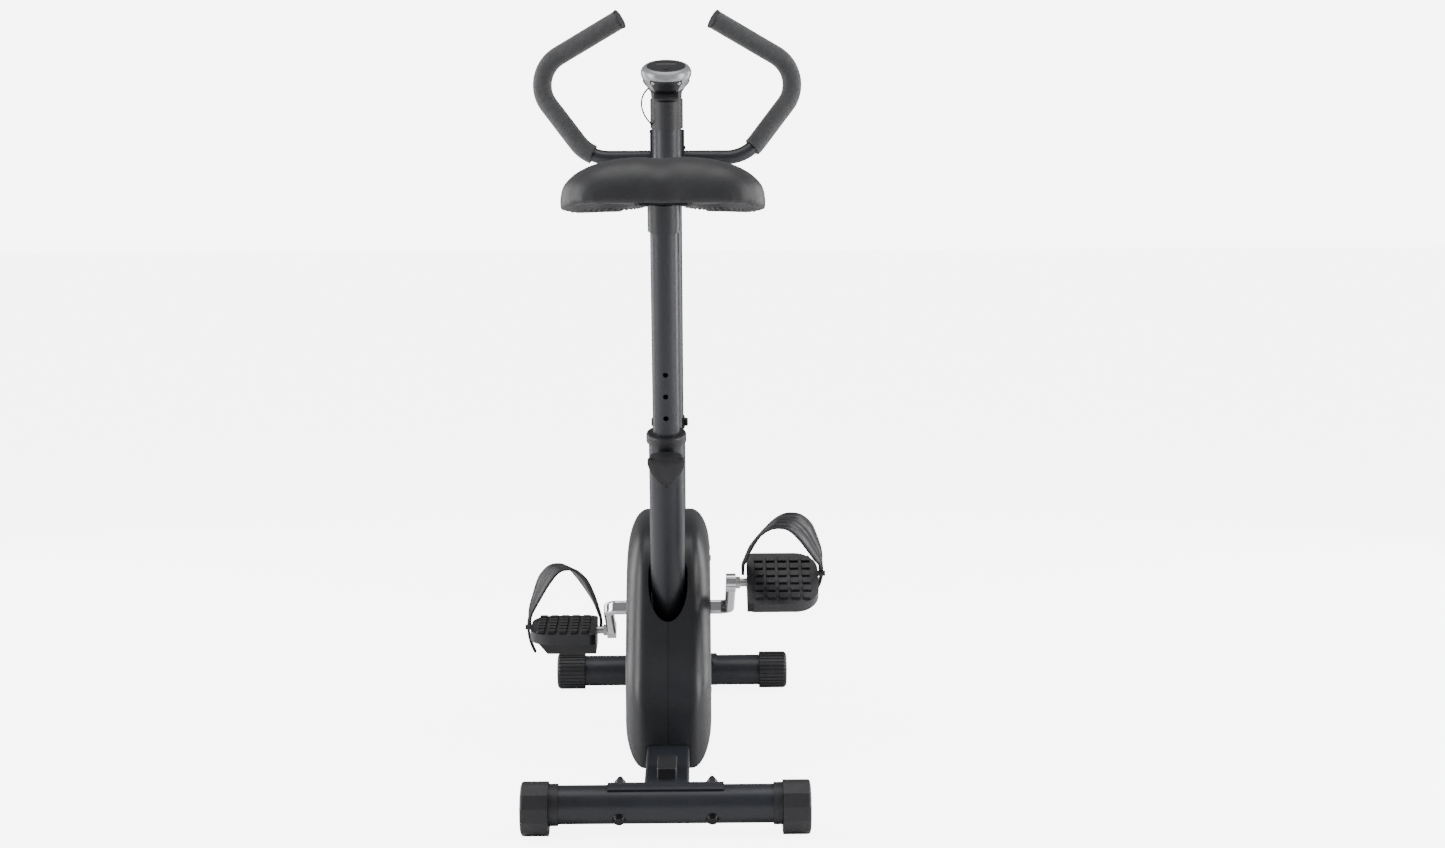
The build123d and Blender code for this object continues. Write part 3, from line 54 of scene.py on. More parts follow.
# ---------------------------------------------------------------- camera
CAMERA_HEIGHT = 0.815         # metres
CAMERA_SIDE = 0.040
CAMERA_BEHIND = 2.579         # behind the rear stabiliser's axis
CAMERA_PITCH = -6.26          # degrees
CAMERA_YAW = -0.81            # degrees, negative to the right
CAMERA_ROLL = 0.25            # degrees
CAMERA_LENS = 51.07           # millimetres
SENSOR_WIDTH = 36.0

rear_low, rear_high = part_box("rear_stabiliser")
rear_axis_y = (rear_low.y + rear_high.y) / 2
camera_data = bpy.data.cameras.new("camera")
camera_data.lens = CAMERA_LENS
camera_data.sensor_width = SENSOR_WIDTH
camera = bpy.data.objects.new("camera", camera_data)
scene.collection.objects.link(camera)
camera.location = (CAMERA_SIDE, rear_axis_y - CAMERA_BEHIND, CAMERA_HEIGHT)
camera.rotation_euler = (math.radians(90 + CAMERA_PITCH), math.radians(CAMERA_ROLL), math.radians(CAMERA_YAW))
scene.camera = camera


# ---------------------------------------------------------------- materials
NOISE_ROUGHNESS = 0.55
TINT_SPAN = (0.35, 0.65)      # share of a pattern's range that the two colours blend over
ROUGH_SPAN = (0.3, 0.7)


class Nodes:
    """A material under construction: its shader and a short way to add and join nodes."""

    def __init__(self, name):
        self.material = bpy.data.materials.new(name)
        self.material.use_nodes = True
        self.tree = self.material.node_tree
        self.shader = self.tree.nodes["Principled BSDF"]
        coordinates = self.tree.nodes.new("ShaderNodeTexCoord")
        self.place = coordinates.outputs["Object"]

    def add(self, kind, **settings):
        """A new node; a setting is one of its properties or, with _ for a space, one of its inputs."""
        node = self.tree.nodes.new(kind)
        for key, value in settings.items():
            if hasattr(node, key):
                setattr(node, key, value)
            else:
                node.inputs[key.replace("_", " ")].default_value = value
        return node

    def join(self, source, target):
        self.tree.links.new(source, target)

    def noise(self, scale, detail=3.0):
        texture = self.add("ShaderNodeTexNoise", Scale=scale, Detail=detail, Roughness=NOISE_ROUGHNESS)
        self.join(self.place, texture.inputs["Vector"])
        return texture.outputs["Fac"]

    def cells(self, scale, feature="F1"):
        texture = self.add("ShaderNodeTexVoronoi", feature=feature, Scale=scale)
        self.join(self.place, texture.inputs["Vector"])
        return texture.outputs["Distance"]

    def tint(self, source, first, second):
        """Base colour that passes from first to second over the middle of the source's range."""
        ramp = self.add("ShaderNodeValToRGB")
        for stop, place, colour in zip(ramp.color_ramp.elements, TINT_SPAN, (first, second)):
            stop.position = place
            stop.color = (*colour, 1)
        self.join(source, ramp.inputs["Fac"])
        self.join(ramp.outputs["Color"], self.shader.inputs["Base Color"])

    def rough(self, source, low, high):
        """Roughness from low to high over the middle of the source's range."""
        start, end = ROUGH_SPAN
        node = self.add("ShaderNodeMapRange", From_Min=start, From_Max=end, To_Min=low, To_Max=high)
        self.join(source, node.inputs["Value"])
        self.join(node.outputs["Result"], self.shader.inputs["Roughness"])

    def bump(self, *layers):
        """Layers of (height, distance in metres, strength), each on top of the last."""
        normal = None
        for height, distance, strength in layers:
            node = self.add("ShaderNodeBump", Distance=distance, Strength=strength)
            self.join(height, node.inputs["Height"])
            if normal is not None:
                self.join(normal, node.inputs["Normal"])
            normal = node.outputs["Normal"]
        self.join(normal, self.shader.inputs["Normal"])

    def set(self, **values):
        for key, value in values.items():
            self.shader.inputs[key.replace("_", " ")].default_value = value


def powder_coat():
    m = Nodes("powder_coat")
    m.tint(m.noise(6), (0.012, 0.0135, 0.018), (0.017, 0.019, 0.025))
    m.rough(m.noise(40), 0.34, 0.42)
    m.bump((m.noise(900, 2), 0.00006, 0.5), (m.noise(60, 2), 0.0001, 0.12))
    m.set(Specular_IOR_Level=0.5)
    return m.material


def moulded_black():
    m = Nodes("moulded_black")
    m.tint(m.noise(12), (0.011, 0.011, 0.013), (0.017, 0.017, 0.02))
    m.rough(m.noise(60), 0.42, 0.52)
    m.bump((m.cells(1500), 0.00005, 0.35), (m.noise(90, 2), 0.0001, 0.1))
    return m.material


def housing_plastic():
    m = Nodes("housing_plastic")
    m.tint(m.noise(5), (0.0105, 0.011, 0.0135), (0.015, 0.0155, 0.019))
    m.rough(m.noise(30), 0.36, 0.44)
    m.bump((m.cells(1400), 0.00005, 0.3), (m.noise(14, 2), 0.0004, 0.06))
    return m.material


def pedal_plastic():
    m = Nodes("pedal_plastic")
    m.tint(m.noise(20), (0.010, 0.010, 0.012), (0.019, 0.019, 0.022))
    m.rough(m.noise(80), 0.3, 0.46)
    m.bump((m.noise(500, 3), 0.0001, 0.3))
    return m.material


def strap_rubber():
    m = Nodes("strap_rubber")
    m.tint(m.noise(25), (0.016, 0.016, 0.019), (0.026, 0.026, 0.029))
    m.rough(m.noise(70), 0.38, 0.55)
    m.bump((m.noise(700, 2), 0.00008, 0.3))
    return m.material


def black_hardware():
    m = Nodes("black_hardware")
    m.tint(m.noise(60), (0.008, 0.008, 0.009), (0.02, 0.02, 0.022))
    m.rough(m.noise(120), 0.24, 0.4)
    m.bump((m.noise(400, 3), 0.00006, 0.3))
    m.set(Metallic=0.6)
    return m.material


def zinc_steel():
    m = Nodes("zinc_steel")
    m.tint(m.noise(50), (0.42, 0.42, 0.40), (0.58, 0.58, 0.56))
    m.rough(m.noise(90, 4), 0.24, 0.42)
    m.bump((m.noise(300, 3), 0.00006, 0.3))
    m.set(Metallic=1.0)
    return m.material


def crank_chrome():
    m = Nodes("crank_chrome")
    m.tint(m.noise(30), (0.62, 0.61, 0.64), (0.74, 0.73, 0.77))
    m.rough(m.noise(50), 0.07, 0.16)
    m.bump((m.noise(60, 2), 0.0002, 0.12))
    m.set(Metallic=1.0)
    return m.material


def cast_iron():
    m = Nodes("cast_iron")
    m.tint(m.noise(30, 5), (0.06, 0.06, 0.062), (0.11, 0.11, 0.112))
    m.rough(m.noise(100), 0.35, 0.6)
    m.bump((m.noise(300, 5), 0.0003, 0.5))
    m.set(Metallic=0.9)
    return m.material


def belt_rubber():
    m = Nodes("belt_rubber")
    m.tint(m.noise(80), (0.008, 0.008, 0.008), (0.02, 0.02, 0.02))
    m.rough(m.noise(90), 0.6, 0.8)
    m.bump((m.noise(500, 3), 0.0001, 0.4))
    return m.material


def cable_sheath():
    m = Nodes("cable_sheath")
    m.tint(m.noise(60), (0.010, 0.010, 0.011), (0.022, 0.022, 0.024))
    m.rough(m.noise(120), 0.35, 0.5)
    m.bump((m.noise(600, 2), 0.00006, 0.3))
    return m.material


def grip_foam():
    m = Nodes("grip_foam")
    m.tint(m.noise(70, 4), (0.0135, 0.0140, 0.016), (0.021, 0.0215, 0.024))
    m.rough(m.noise(150), 0.62, 0.78)
    m.bump((m.cells(1100), 0.00035, 0.55), (m.noise(260, 3), 0.0003, 0.3))
    m.set(Sheen_Weight=0.25, Sheen_Roughness=0.6)
    return m.material


def saddle_vinyl():
    m = Nodes("saddle_vinyl")
    m.tint(m.noise(9, 4), (0.019, 0.0195, 0.0215), (0.026, 0.0265, 0.029))
    m.rough(m.noise(24, 3), 0.44, 0.56)
    m.bump((m.cells(620, feature="SMOOTH_F1"), 0.0003, 0.35), (m.noise(180, 3), 0.0002, 0.25),
           (m.noise(16, 2), 0.0012, 0.12))
    return m.material


def gathered_vinyl():
    m = Nodes("gathered_vinyl")
    m.tint(m.noise(40, 4), (0.014, 0.014, 0.016), (0.024, 0.024, 0.027))
    m.rough(m.noise(60, 3), 0.3, 0.5)
    m.bump((m.noise(300, 3), 0.0003, 0.4))
    return m.material


def console_silver():
    m = Nodes("console_silver")
    m.tint(m.noise(20), (0.25, 0.255, 0.265), (0.31, 0.315, 0.325))
    m.rough(m.noise(60), 0.28, 0.36)
    m.bump((m.noise(900, 2), 0.00004, 0.4))
    m.set(Metallic=0.35, Coat_Weight=0.3, Coat_Roughness=0.2)
    return m.material


def display_glass():
    m = Nodes("display_glass")
    m.tint(m.noise(30), (0.020, 0.022, 0.020), (0.030, 0.033, 0.030))
    m.rough(m.noise(40), 0.08, 0.14)
    m.bump((m.noise(200, 2), 0.00003, 0.2))
    m.set(Coat_Weight=0.8, Coat_Roughness=0.05)
    return m.material


FINISHES = {
    "frame_paint": powder_coat(),
    "black_plastic": moulded_black(),
    "housing_plastic": housing_plastic(),
    "pedal_plastic": pedal_plastic(),
    "strap_rubber": strap_rubber(),
    "black_hardware": black_hardware(),
    "zinc_steel": zinc_steel(),
    "crank_chrome": crank_chrome(),
    "cast_iron": cast_iron(),
    "belt_rubber": belt_rubber(),
    "cable_sheath": cable_sheath(),
    "grip_foam": grip_foam(),
    "saddle_vinyl": saddle_vinyl(),
    "console_silver": console_silver(),
    "display_glass": display_glass(),
}
for part in frame["record"]["subparts"]:
    carried = nodes[part["node"]]
    carried.data.materials.clear()
    carried.data.materials.append(FINISHES[part["material_slot"]])


# ---------------------------------------------------------------- mesh helpers
SHEET_THICKNESS = 0.0012


def make_piece(name, vertices, faces, slot, body):
    """A mesh piece in the row frame that rides on a body and takes a record slot's finish."""
    mesh = bpy.data.meshes.new(name)
    mesh.from_pydata([tuple(v) for v in vertices], [], faces)
    mesh.update()
    solid = bmesh.new()
    solid.from_mesh(mesh)
    bmesh.ops.recalc_face_normals(solid, faces=solid.faces)
    solid.to_mesh(mesh)
    solid.free()
    mesh.shade_smooth()
    piece = bpy.data.objects.new(name, mesh)
    scene.collection.objects.link(piece)
    mesh.materials.append(FINISHES[slot])
    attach(piece, body)
    return piece


def number_rings(rings):
    """All the rings' points in one list, and each ring as indices into it."""
    count = len(rings[0])
    points = [point for ring in rings for point in ring]
    return points, [list(range(start, start + count)) for start in range(0, len(points), count)]


def bridge(rings):
    """Faces between successive closed rings of equal length, by index."""
    faces = []
    count = len(rings[0])
    for first, second in zip(rings, rings[1:]):
        for i in range(count):
            j = (i + 1) % count
            faces.append((first[i], first[j], second[j], second[i]))
    return faces


def make_loft(name, rings, slot, body):
    """Closed piece over rings of points, its first and last ring filled."""
    points, numbers = number_rings(rings)
    faces = bridge(numbers)
    faces.append(tuple(numbers[0]))
    faces.append(tuple(reversed(numbers[-1])))
    return make_piece(name, points, faces, slot, body)


def apply_modifiers(piece):
    depsgraph = bpy.context.evaluated_depsgraph_get()
    mesh = bpy.data.meshes.new_from_object(piece.evaluated_get(depsgraph))
    old = piece.data
    piece.modifiers.clear()
    piece.data = mesh
    bpy.data.meshes.remove(old)


def make_sheet(name, rings, slot, body, finish, offset):
    """Open skin over rings of points, made thick to the side that offset gives."""
    points, numbers = number_rings(rings)
    sheet = make_piece(name, points, bridge(numbers), slot, body)
    sheet.data.materials.clear()
    sheet.data.materials.append(finish)
    thick = sheet.modifiers.new("thick", "SOLIDIFY")
    thick.thickness = SHEET_THICKNESS
    thick.offset = offset
    apply_modifiers(sheet)


def spline_point(a, b, c, d, t):
    """Point of the Catmull-Rom curve, share t of the way from b to c."""
    return 0.5 * (2 * b + (c - a) * t + (2 * a - 5 * b + 4 * c - d) * t ** 2
                  + (3 * b - 3 * c + d - a) * t ** 3)


def smooth_loop(points, steps):
    """Closed curve through points, steps samples between each two."""
    count = len(points)
    loop = []
    for i in range(count):
        near = [Vector(points[(i + k) % count]) for k in (-1, 0, 1, 2)]
        loop += [spline_point(*near, step / steps) for step in range(steps)]
    return loop


def open_curve(points, steps):
    """Open curve through points, its ends included."""
    held = [points[0], *points, points[-1]]
    line = []
    for i in range(1, len(held) - 2):
        near = [Vector(held[i + k]) for k in (-1, 0, 1, 2)]
        line += [spline_point(*near, step / steps) for step in range(steps)]
    line.append(Vector(points[-1]))
    return line


def mirrored(half):
    """Half an outline, from the middle line round to the middle line, and its mirror image."""
    return half + [(-x, y) for x, y in reversed(half[1:-1])]


# ---------------------------------------------------------------- sensor lead
LEAD_DIAMETER = 0.0026
LEAD_ROUTE = [(-24, 560, 985), (-31, 558, 979), (-37, 556, 968), (-38, 556, 955),
              (-34, 558, 943), (-29, 562, 935), (-22, 572, 927.5)]


def lead_point(x, y, z):
    return x * MM, rear_axis_y + y * MM, z * MM


def make_lead():
    curve = bpy.data.curves.new("sensor_lead_cable", "CURVE")
    curve.dimensions = "3D"
    spline = curve.splines.new("NURBS")
    spline.points.add(len(LEAD_ROUTE) - 1)
    for point, place in zip(spline.points, LEAD_ROUTE):
        point.co = (*lead_point(*place), 1)
    spline.order_u = 3
    spline.use_endpoint_u = True
    spline.resolution_u = 12
    curve.bevel_depth = LEAD_DIAMETER / 2
    curve.bevel_resolution = 4
    curve.use_fill_caps = True
    curve.materials.append(FINISHES["cable_sheath"])
    lead = bpy.data.objects.new("sensor_lead_cable", curve)
    scene.collection.objects.link(lead)
    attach(lead, "frame")
    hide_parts("sensor_lead")


make_lead()


# ---------------------------------------------------------------- saddle
SADDLE_TAIL_SPINE = 0.078     # the crown's ridge runs from here
SADDLE_NOSE_SPINE = 0.236     # to here, forward of the tail's edge
SADDLE_RINGS = 22
SADDLE_RING_CROWDING = 1.7    # over 1, rings stand closer together towards the edge
SADDLE_LAST_RING = 0.985      # share of the way to the ridge
SADDLE_PROFILE_POWER = 2.8
SADDLE_PROFILE_ROUNDING = 0.43
SADDLE_WIDENING = 1.012
SADDLE_BULGE = 0.03
GROOVE_DEPTH = 0.0075
GROOVE_WIDTH = 0.012
GROOVE_SIDE = -0.004
GROOVE_END = 0.15             # forward of the tail's edge
UNDER_RINGS = ((0.05, -0.0015), (0.11, 0.0005), (0.16, 0.006), (0.20, 0.013))     # (inset, lift)
# Right half of the plan, from the tail's middle to the nose: (out from the middle, forward).
SADDLE_PLAN = [(0, 7), (34, 1), (68, 0), (100, 6), (121, 22), (132, 48), (133, 72), (125, 100),
               (104, 130), (76, 155), (53, 180), (40, 205), (33, 230), (27, 252), (15, 264), (0, 267)]

saddle_base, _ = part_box("saddle_cushion")
saddle_outline = mirrored([(SADDLE_WIDENING * x * MM, y * MM) for x, y in SADDLE_PLAN])
saddle_loop = smooth_loop(saddle_outline, 5)


def saddle_edge_height(y):
    """Height of the bottom edge above the CAD cushion's base, by distance forward of the tail."""
    return 0.0105 - 0.0135 * math.sin(min(y / 0.125, 1) * math.pi / 2) + 0.006 * max(0, (y - 0.16) / 0.1)


def saddle_top_height(y):
    return 0.070 - 0.010 * max(0, (y - 0.10) / 0.167) ** 1.4 + 0.001 * math.sin(y * 20)


def towards_ridge(x, y, share):
    """Point of the plan, share of the way from (x, y) to the crown's ridge."""
    spine = Vector((0, min(max(y, SADDLE_TAIL_SPINE), SADDLE_NOSE_SPINE)))
    return Vector((x, y)).lerp(spine, share)


def on_saddle(flat, height):
    return Vector((flat.x, saddle_base.y + flat.y, saddle_base.z + height))


def saddle_point(x, y, share):
    """Point of the top surface, share of the way from the edge to the crown's ridge."""
    flat = towards_ridge(x, y, share)
    low = saddle_edge_height(y)
    rise = (1 - (1 - share) ** SADDLE_PROFILE_POWER) ** SADDLE_PROFILE_ROUNDING
    height = low + (saddle_top_height(flat.y) - low) * rise
    across = math.exp(-(((flat.x - GROOVE_SIDE) / GROOVE_WIDTH) ** 2))
    groove = GROOVE_DEPTH * across * max(0, 1 - flat.y / GROOVE_END) * min(1, share * 2)
    flat.x *= 1 + SADDLE_BULGE - SADDLE_BULGE * max(0, 1 - share / 0.04)
    return on_saddle(flat, height - groove)


def make_saddle():
    shares = [(i / SADDLE_RINGS) ** SADDLE_RING_CROWDING for i in range(SADDLE_RINGS)] + [SADDLE_LAST_RING]
    top = [[saddle_point(x, y, share) for x, y in saddle_loop] for share in shares]
    under = [[on_saddle(towards_ridge(x, y, inset), saddle_edge_height(y) + lift) for x, y in saddle_loop]
             for inset, lift in UNDER_RINGS]
    points, numbers = number_rings(top + under)
    top_rings = numbers[:len(top)]
    under_rings = numbers[len(top):]
    faces = bridge(under_rings[::-1] + top_rings)
    faces.append(tuple(top_rings[-1]))
    faces.append(tuple(reversed(under_rings[-1])))
    saddle = make_piece("saddle", points, faces, "saddle_vinyl", "seat")
    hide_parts("saddle_cushion")
    return saddle


VOXEL = 0.0045
PUFF_FRAMES = 16
PUFF_CAP = 0.005
PIN_BAND = 0.014              # the cover is held to its pan this far up from its lowest point


def puff(piece):
    """Cloth pressure swells the cover over its foam, no further than the cap."""
    remesh = piece.modifiers.new("remesh", "REMESH")
    remesh.mode = "VOXEL"
    remesh.voxel_size = VOXEL
    apply_modifiers(piece)
    before = [v.co.copy() for v in piece.data.vertices]
    pins = piece.vertex_groups.new(name="pins")
    low = min(v.co.z for v in piece.data.vertices)
    held = [v.index for v in piece.data.vertices if v.co.z < low + PIN_BAND and abs(v.normal.z) > 0.5]
    pins.add(held, 1.0, "REPLACE")
    cloth = piece.modifiers.new("cloth", "CLOTH")
    cloth.settings.quality = 5
    cloth.settings.mass = 0.3
    cloth.settings.use_pressure = True
    cloth.settings.uniform_pressure_force = 3.0
    cloth.settings.tension_stiffness = 40
    cloth.settings.compression_stiffness = 40
    cloth.settings.bending_stiffness = 8
    cloth.settings.vertex_group_mass = "pins"
    cloth.settings.effector_weights.gravity = 0
    cloth.collision_settings.use_collision = False
    cloth.point_cache.frame_start = 1
    cloth.point_cache.frame_end = PUFF_FRAMES
    for step in range(1, PUFF_FRAMES + 1):
        scene.frame_set(step)
    apply_modifiers(piece)
    scene.frame_set(1)
    for vertex, start in zip(piece.data.vertices, before):
        move = vertex.co - start
        if move.length > PUFF_CAP:
            vertex.co = start + move * (PUFF_CAP / move.length)
    smooth = piece.modifiers.new("smooth", "CORRECTIVE_SMOOTH")
    smooth.iterations = 6
    smooth.use_only_smooth = True
    finer = piece.modifiers.new("finer", "SUBSURF")
    finer.levels = 1
    finer.render_levels = 1
    apply_modifiers(piece)
    piece.data.shade_smooth()


PLEATS = 90
PLEAT_DEPTH = 0.0011
# (inset, lift)
GATHER_RINGS = ((0.12, 0.0035), (0.14, 0.006), (0.17, 0.010), (0.21, 0.0145), (0.26, 0.0155))


def make_gather():
    """Vinyl gathered over the pan's edge under the saddle, in small uneven pleats."""
    loop = smooth_loop(saddle_outline, 40)
    rings = []
    for inset, lift in GATHER_RINGS:
        ring = []
        for i, (x, y) in enumerate(loop):
            phase = i / len(loop) * PLEATS * 2 * math.pi
            uneven = noise.noise(Vector((x * 60, y * 60, 3.1)))
            pleat = PLEAT_DEPTH * math.sin(phase + 2.5 * uneven) * (0.4 + abs(uneven) * 1.6)
            flat = towards_ridge(x, y, inset + pleat * 4)
            ring.append(on_saddle(flat, saddle_edge_height(y) + lift + pleat))
        rings.append(ring)
    make_sheet("saddle_gather", rings, "saddle_vinyl", "seat", gathered_vinyl(), -1)


saddle = make_saddle()
puff(saddle)
make_gather()


# ---------------------------------------------------------------- pedal straps
PEDAL_PLACES = {"left": ((-0.1635, 0.146431, 0.153228), 5), "right": ((0.1635, -0.106293, 0.273772), 33)}
# From the outer peg over the foot to the inner peg: (out from the pedal's middle, up from its spindle).
STRAP_PATH = [(54, -5), (54.5, 8), (52, 24), (44, 44), (31, 72), (17, 89), (3, 93.5), (-11, 90), (-26, 75),
              (-41, 48), (-50, 26), (-54.5, 10), (-55, -4)]
TAIL_PATH = [(56.5, 12), (57.5, 0), (57, -10), (55, -22), (51, -34), (47, -43)]
STRAP_FORWARD = 0.026
STRAP_HALF = 0.0155
STRAP_SKEW = 0.0095
STRAP_THICK = 0.0028
STRAP_RIB = 0.0016
STRAP_STEPS = 7
FOOT_MIDDLE = Vector((0, 0.02))     # inside the strap's loop, so that its ribs face out
SKEW_FROM = 0.004
SKEW_RISE = 0.07


def pedal_frame(side):
    centre, tilt = PEDAL_PLACES[side]
    out = -1 if side == "left" else 1
    angle = math.radians(tilt)
    return (Vector(centre), Vector((out, 0, 0)), Vector((0, math.cos(angle), math.sin(angle))),
            Vector((0, -math.sin(angle), math.cos(angle))))


def make_band(name, side, path, half_width, section, skew):
    """Band along a path in the pedal's frame, half_width(height) each side of its middle."""
    centre, outward, forward, up = pedal_frame(side)
    line = open_curve([(x * MM, z * MM) for x, z in path], STRAP_STEPS)
    rings = []
    for i, point in enumerate(line):
        ahead = line[min(i + 1, len(line) - 1)] - line[max(i - 1, 0)]
        normal = Vector((-ahead.y, ahead.x)).normalized()
        if normal.dot(point - FOOT_MIDDLE) < 0:
            normal = -normal
        half = half_width(point.y)
        lean = skew * min(1, max(0, (point.y - SKEW_FROM) / SKEW_RISE))
        ring = []
        for share, lift in section:
            flat = point + normal * lift
            ring.append(centre + outward * (flat.x + lean * share) + up * flat.y
                        + forward * (STRAP_FORWARD + half * share))
        rings.append(ring)
    return make_loft(name, rings, "strap_rubber", "pedal_" + side)


def strap_half_width(height):
    narrow = min(1, max(0, (height - 0.012) / 0.022))
    return STRAP_HALF * (0.45 + 0.55 * narrow * narrow * (3 - 2 * narrow))


def tail_half_width(height):
    return 0.0065 if height > -0.035 else 0.005


RIB_TOP = STRAP_THICK / 2 + STRAP_RIB
RIB_FLAT = STRAP_THICK / 2
STRAP_SECTION = [(-1, -RIB_FLAT), (-1, RIB_FLAT), (-0.97, RIB_TOP), (-0.84, RIB_TOP), (-0.80, RIB_FLAT),
                 (-0.30, RIB_FLAT), (-0.26, RIB_TOP), (-0.12, RIB_TOP), (-0.08, RIB_FLAT * 0.6),
                 (0.08, RIB_FLAT * 0.6), (0.12, RIB_TOP), (0.26, RIB_TOP), (0.30, RIB_FLAT), (0.80, RIB_FLAT),
                 (0.84, RIB_TOP), (0.97, RIB_TOP), (1, RIB_FLAT), (1, -RIB_FLAT)]
TAIL_SECTION = [(-1, -0.0014), (-1, 0.0014), (-0.7, 0.0019), (0.7, 0.0019), (1, 0.0014), (1, -0.0014)]

for side in PEDAL_PLACES:
    strap = make_band("strap_band_" + side, side, STRAP_PATH, strap_half_width, STRAP_SECTION, STRAP_SKEW)
    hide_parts("strap_" + side)
    make_band("strap_tail_" + side, side, TAIL_PATH, tail_half_width, TAIL_SECTION, 0)


# ---------------------------------------------------------------- console trim
CONSOLE_MIDDLE = Vector((0, rear_axis_y + 0.553, 1.015))
CONSOLE_TILT = math.radians(24)
CONSOLE_UP = Vector((0, -math.sin(CONSOLE_TILT), math.cos(CONSOLE_TILT)))
CONSOLE_ALONG = Vector((0, math.cos(CONSOLE_TILT), math.sin(CONSOLE_TILT)))


def on_console(x, along, up):
    return CONSOLE_MIDDLE + Vector((x, 0, 0)) + CONSOLE_ALONG * along + CONSOLE_UP * up


SCREW_SIDES = 20
SCREW_RADIUS = 0.0027
SCREW_RINGS = ((1, -0.0006), (1, 0.0005), (0.85, 0.0011), (0.5, 0.0014), (0.3, 0.0008), (0.05, 0.0007))
SLOT_RINGS = (0.2, 0.55)      # rings between these shares of the radius take the cross slot's shape


def make_screw(name, place, outward):
    """Dished pan-head screw with a cross slot pressed into it."""
    outward = outward.normalized()
    side = outward.orthogonal().normalized()
    other = outward.cross(side)
    rings = []
    for share, lift in SCREW_RINGS:
        ring = []
        for i in range(SCREW_SIDES):
            turn = 2 * math.pi * i / SCREW_SIDES
            reach = SCREW_RADIUS * share
            if SLOT_RINGS[0] <= share <= SLOT_RINGS[1]:
                reach *= 0.8 + 0.35 * abs(math.cos(2 * turn))
            ring.append(place + side * reach * math.cos(turn) + other * reach * math.sin(turn)
                        + outward * lift)
        rings.append(ring)
    make_loft(name, rings, "zinc_steel", "frame")


# The console shell below its face's plane: (up, half width, half length).
CONSOLE_LEVELS = [(-0.034, 0.0245, 0.022), (-0.026, 0.032, 0.028), (-0.016, 0.0373, 0.033),
                  (-0.009, 0.0385, 0.034)]
CONSOLE_SCREW_X = 0.0195
CONSOLE_SCREW_UP = -0.0175
CONSOLE_SCREW_DROOP = 0.35


def console_outline(up):
    """Half width and half length of the console shell, up from its face's plane."""
    for (low, a, b), (high, c, d) in zip(CONSOLE_LEVELS, CONSOLE_LEVELS[1:]):
        if up <= high:
            share = max(0, (up - low) / (high - low))
            return a + (c - a) * share, b + (d - b) * share
    return CONSOLE_LEVELS[-1][1:]


for sign, name in ((-1, "left"), (1, "right")):
    half_x, half_y = console_outline(CONSOLE_SCREW_UP)
    x = CONSOLE_SCREW_X * sign
    along = -half_y * math.sqrt(1 - (x / half_x) ** 2)
    slope = Vector((x / half_x ** 2, 0, 0)) + CONSOLE_ALONG * (along / half_y ** 2)
    slope = slope.normalized() - CONSOLE_UP * CONSOLE_SCREW_DROOP
    make_screw("console_screw_" + name, on_console(x, along, CONSOLE_SCREW_UP), slope)


COLLAR_TURNS = 72
COLLAR_FOOT = -0.0355
COLLAR_LOW = 0.0025
COLLAR_EARS = 0.0105          # how much higher it stands at the sides
COLLAR_CLEAR_X = 0.0022
COLLAR_CLEAR_Y = 0.0012
COLLAR_DRIFT = -0.003


def make_collar():
    """Thin lip of the neck that cups the console, high at the sides and low front and back."""
    rings = []
    for share in (0, 0.35, 0.7, 1.0):
        ring = []
        for i in range(COLLAR_TURNS):
            turn = 2 * math.pi * i / COLLAR_TURNS
            up = COLLAR_FOOT + (COLLAR_LOW + COLLAR_EARS * abs(math.cos(turn)) ** 6) * share
            half_x, half_y = console_outline(up)
            along = COLLAR_DRIFT * (1 - share) + (half_y + COLLAR_CLEAR_Y) * math.sin(turn)
            ring.append(on_console((half_x + COLLAR_CLEAR_X) * math.cos(turn), along, up))
        rings.append(ring)
    make_sheet("console_collar", rings, "black_plastic", "frame", FINISHES["black_plastic"], 1)


make_collar()


# ---------------------------------------------------------------- seat pin's shield
SEAT_LEAN = math.radians(16.5)
SHIELD = [(0, 19), (12, 20), (23, 22), (26, 18), (24.5, 9), (19, -3), (11, -14), (4, -21), (0, -23)]
SHIELD_RINGS = ((0.93, -0.008), (1, -0.005), (1, 0.0002), (0.96, 0.0016), (0.92, 0.0014), (0.88, 0.0004),
                (0.4, 0.0008), (0.05, 0.001))     # (size, lift)
SHIELD_FACE_DEPTH = 0.0005    # points this near to the knob's foremost one lie on its face


def make_shield():
    """Cap of the pin's knob: a shield with a raised rim, square to the pin."""
    outward = Vector((0, -math.cos(SEAT_LEAN), -math.sin(SEAT_LEAN)))
    up = Vector((0, -math.sin(SEAT_LEAN), math.cos(SEAT_LEAN)))
    knob = nodes["seat_pin"]
    places = [knob.matrix_world @ v.co for v in knob.data.vertices]
    reach = max(p.dot(outward) for p in places)
    face = [p.dot(up) for p in places if p.dot(outward) > reach - SHIELD_FACE_DEPTH]
    height = (min(face) + max(face)) / 2
    outline = smooth_loop(mirrored(SHIELD), 6)
    rings = []
    for size, lift in SHIELD_RINGS:
        rings.append([Vector((point.x * size * MM, 0, 0)) + up * (height + point.y * size * MM)
                      + outward * (reach + lift) for point in outline])
    make_loft("pin_shield", rings, "black_plastic", "seat_pin")


make_shield()


# ---------------------------------------------------------------- floor and lights
FLOOR_HALF = 30
FLOOR_GLOW = 6.0              # the floor and the world are pale where the camera sees them,
WORLD_GLOW = 6.6              # and give the bike little light
WORLD_FILL = 0.28


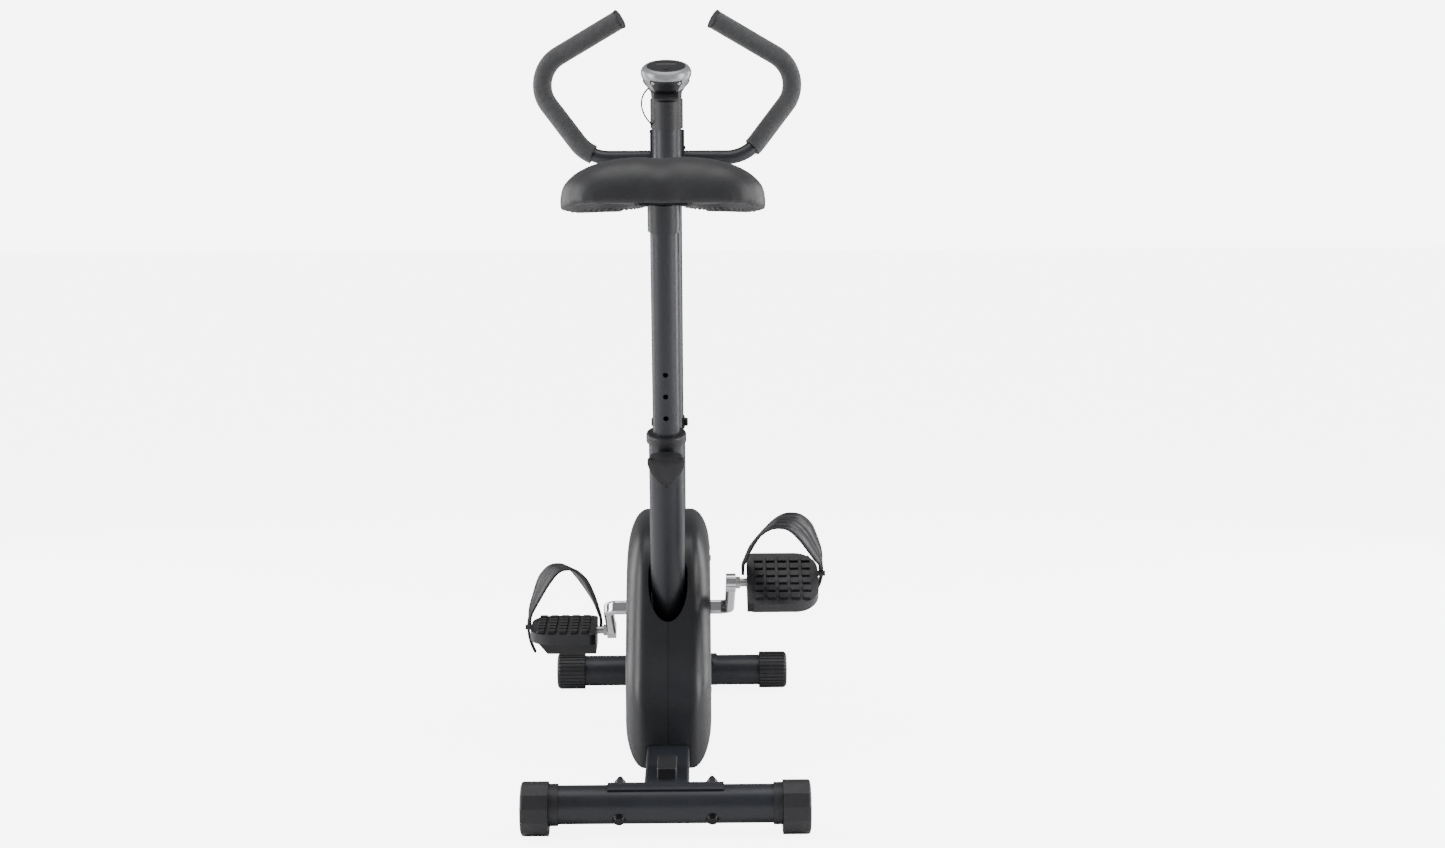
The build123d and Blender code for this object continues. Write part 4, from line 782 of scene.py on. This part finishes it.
def camera_only(tree, strength):
    """strength where the camera looks, nought for every other ray."""
    rays = tree.nodes.new("ShaderNodeLightPath")
    amount = tree.nodes.new("ShaderNodeMath")
    amount.operation = "MULTIPLY"
    amount.inputs[1].default_value = strength
    tree.links.new(rays.outputs["Is Camera Ray"], amount.inputs[0])
    return amount.outputs["Value"]


def make_floor():
    mesh = bpy.data.meshes.new("floor")
    corners = [(x * FLOOR_HALF, y * FLOOR_HALF, 0) for x, y in ((-1, -1), (1, -1), (1, 1), (-1, 1))]
    mesh.from_pydata(corners, [], [(0, 1, 2, 3)])
    floor = bpy.data.objects.new("floor", mesh)
    scene.collection.objects.link(floor)
    m = Nodes("floor")
    m.set(Base_Color=(0.9, 0.9, 0.905, 1), Roughness=0.6, Specular_IOR_Level=0.3, Emission_Color=(1, 1, 1, 1))
    m.join(camera_only(m.tree, FLOOR_GLOW), m.shader.inputs["Emission Strength"])
    mesh.materials.append(m.material)


def soft_light(name, place, aim, width, height, power):
    data = bpy.data.lights.new(name, "AREA")
    data.shape = "RECTANGLE"
    data.size = width
    data.size_y = height
    data.energy = power
    light = bpy.data.objects.new(name, data)
    scene.collection.objects.link(light)
    light.location = place
    light.rotation_euler = (Vector(aim) - Vector(place)).to_track_quat("-Z", "Y").to_euler()


world = bpy.data.worlds.new("studio")
world.use_nodes = True
background = world.node_tree.nodes["Background"]
background.inputs["Color"].default_value = (1, 1, 1, 1)
add = world.node_tree.nodes.new("ShaderNodeMath")
add.operation = "ADD"
add.inputs[1].default_value = WORLD_FILL
world.node_tree.links.new(camera_only(world.node_tree, WORLD_GLOW), add.inputs[0])
world.node_tree.links.new(add.outputs["Value"], background.inputs["Strength"])
scene.world = world

make_floor()
soft_light("left_box", (-1.9, -0.7, 1.1), (0, 0, 0.55), 0.9, 2.0, 46)
soft_light("right_box", (1.9, -0.7, 1.1), (0, 0, 0.55), 0.9, 2.0, 46)
soft_light("left_rim", (-2.1, 1.2, 0.9), (0, 0, 0.55), 0.9, 2.0, 34)
soft_light("right_rim", (2.1, 1.2, 0.9), (0, 0, 0.55), 0.9, 2.0, 34)
soft_light("top_box", (0, -0.3, 2.6), (0, 0, 0.5), 1.6, 1.6, 22)
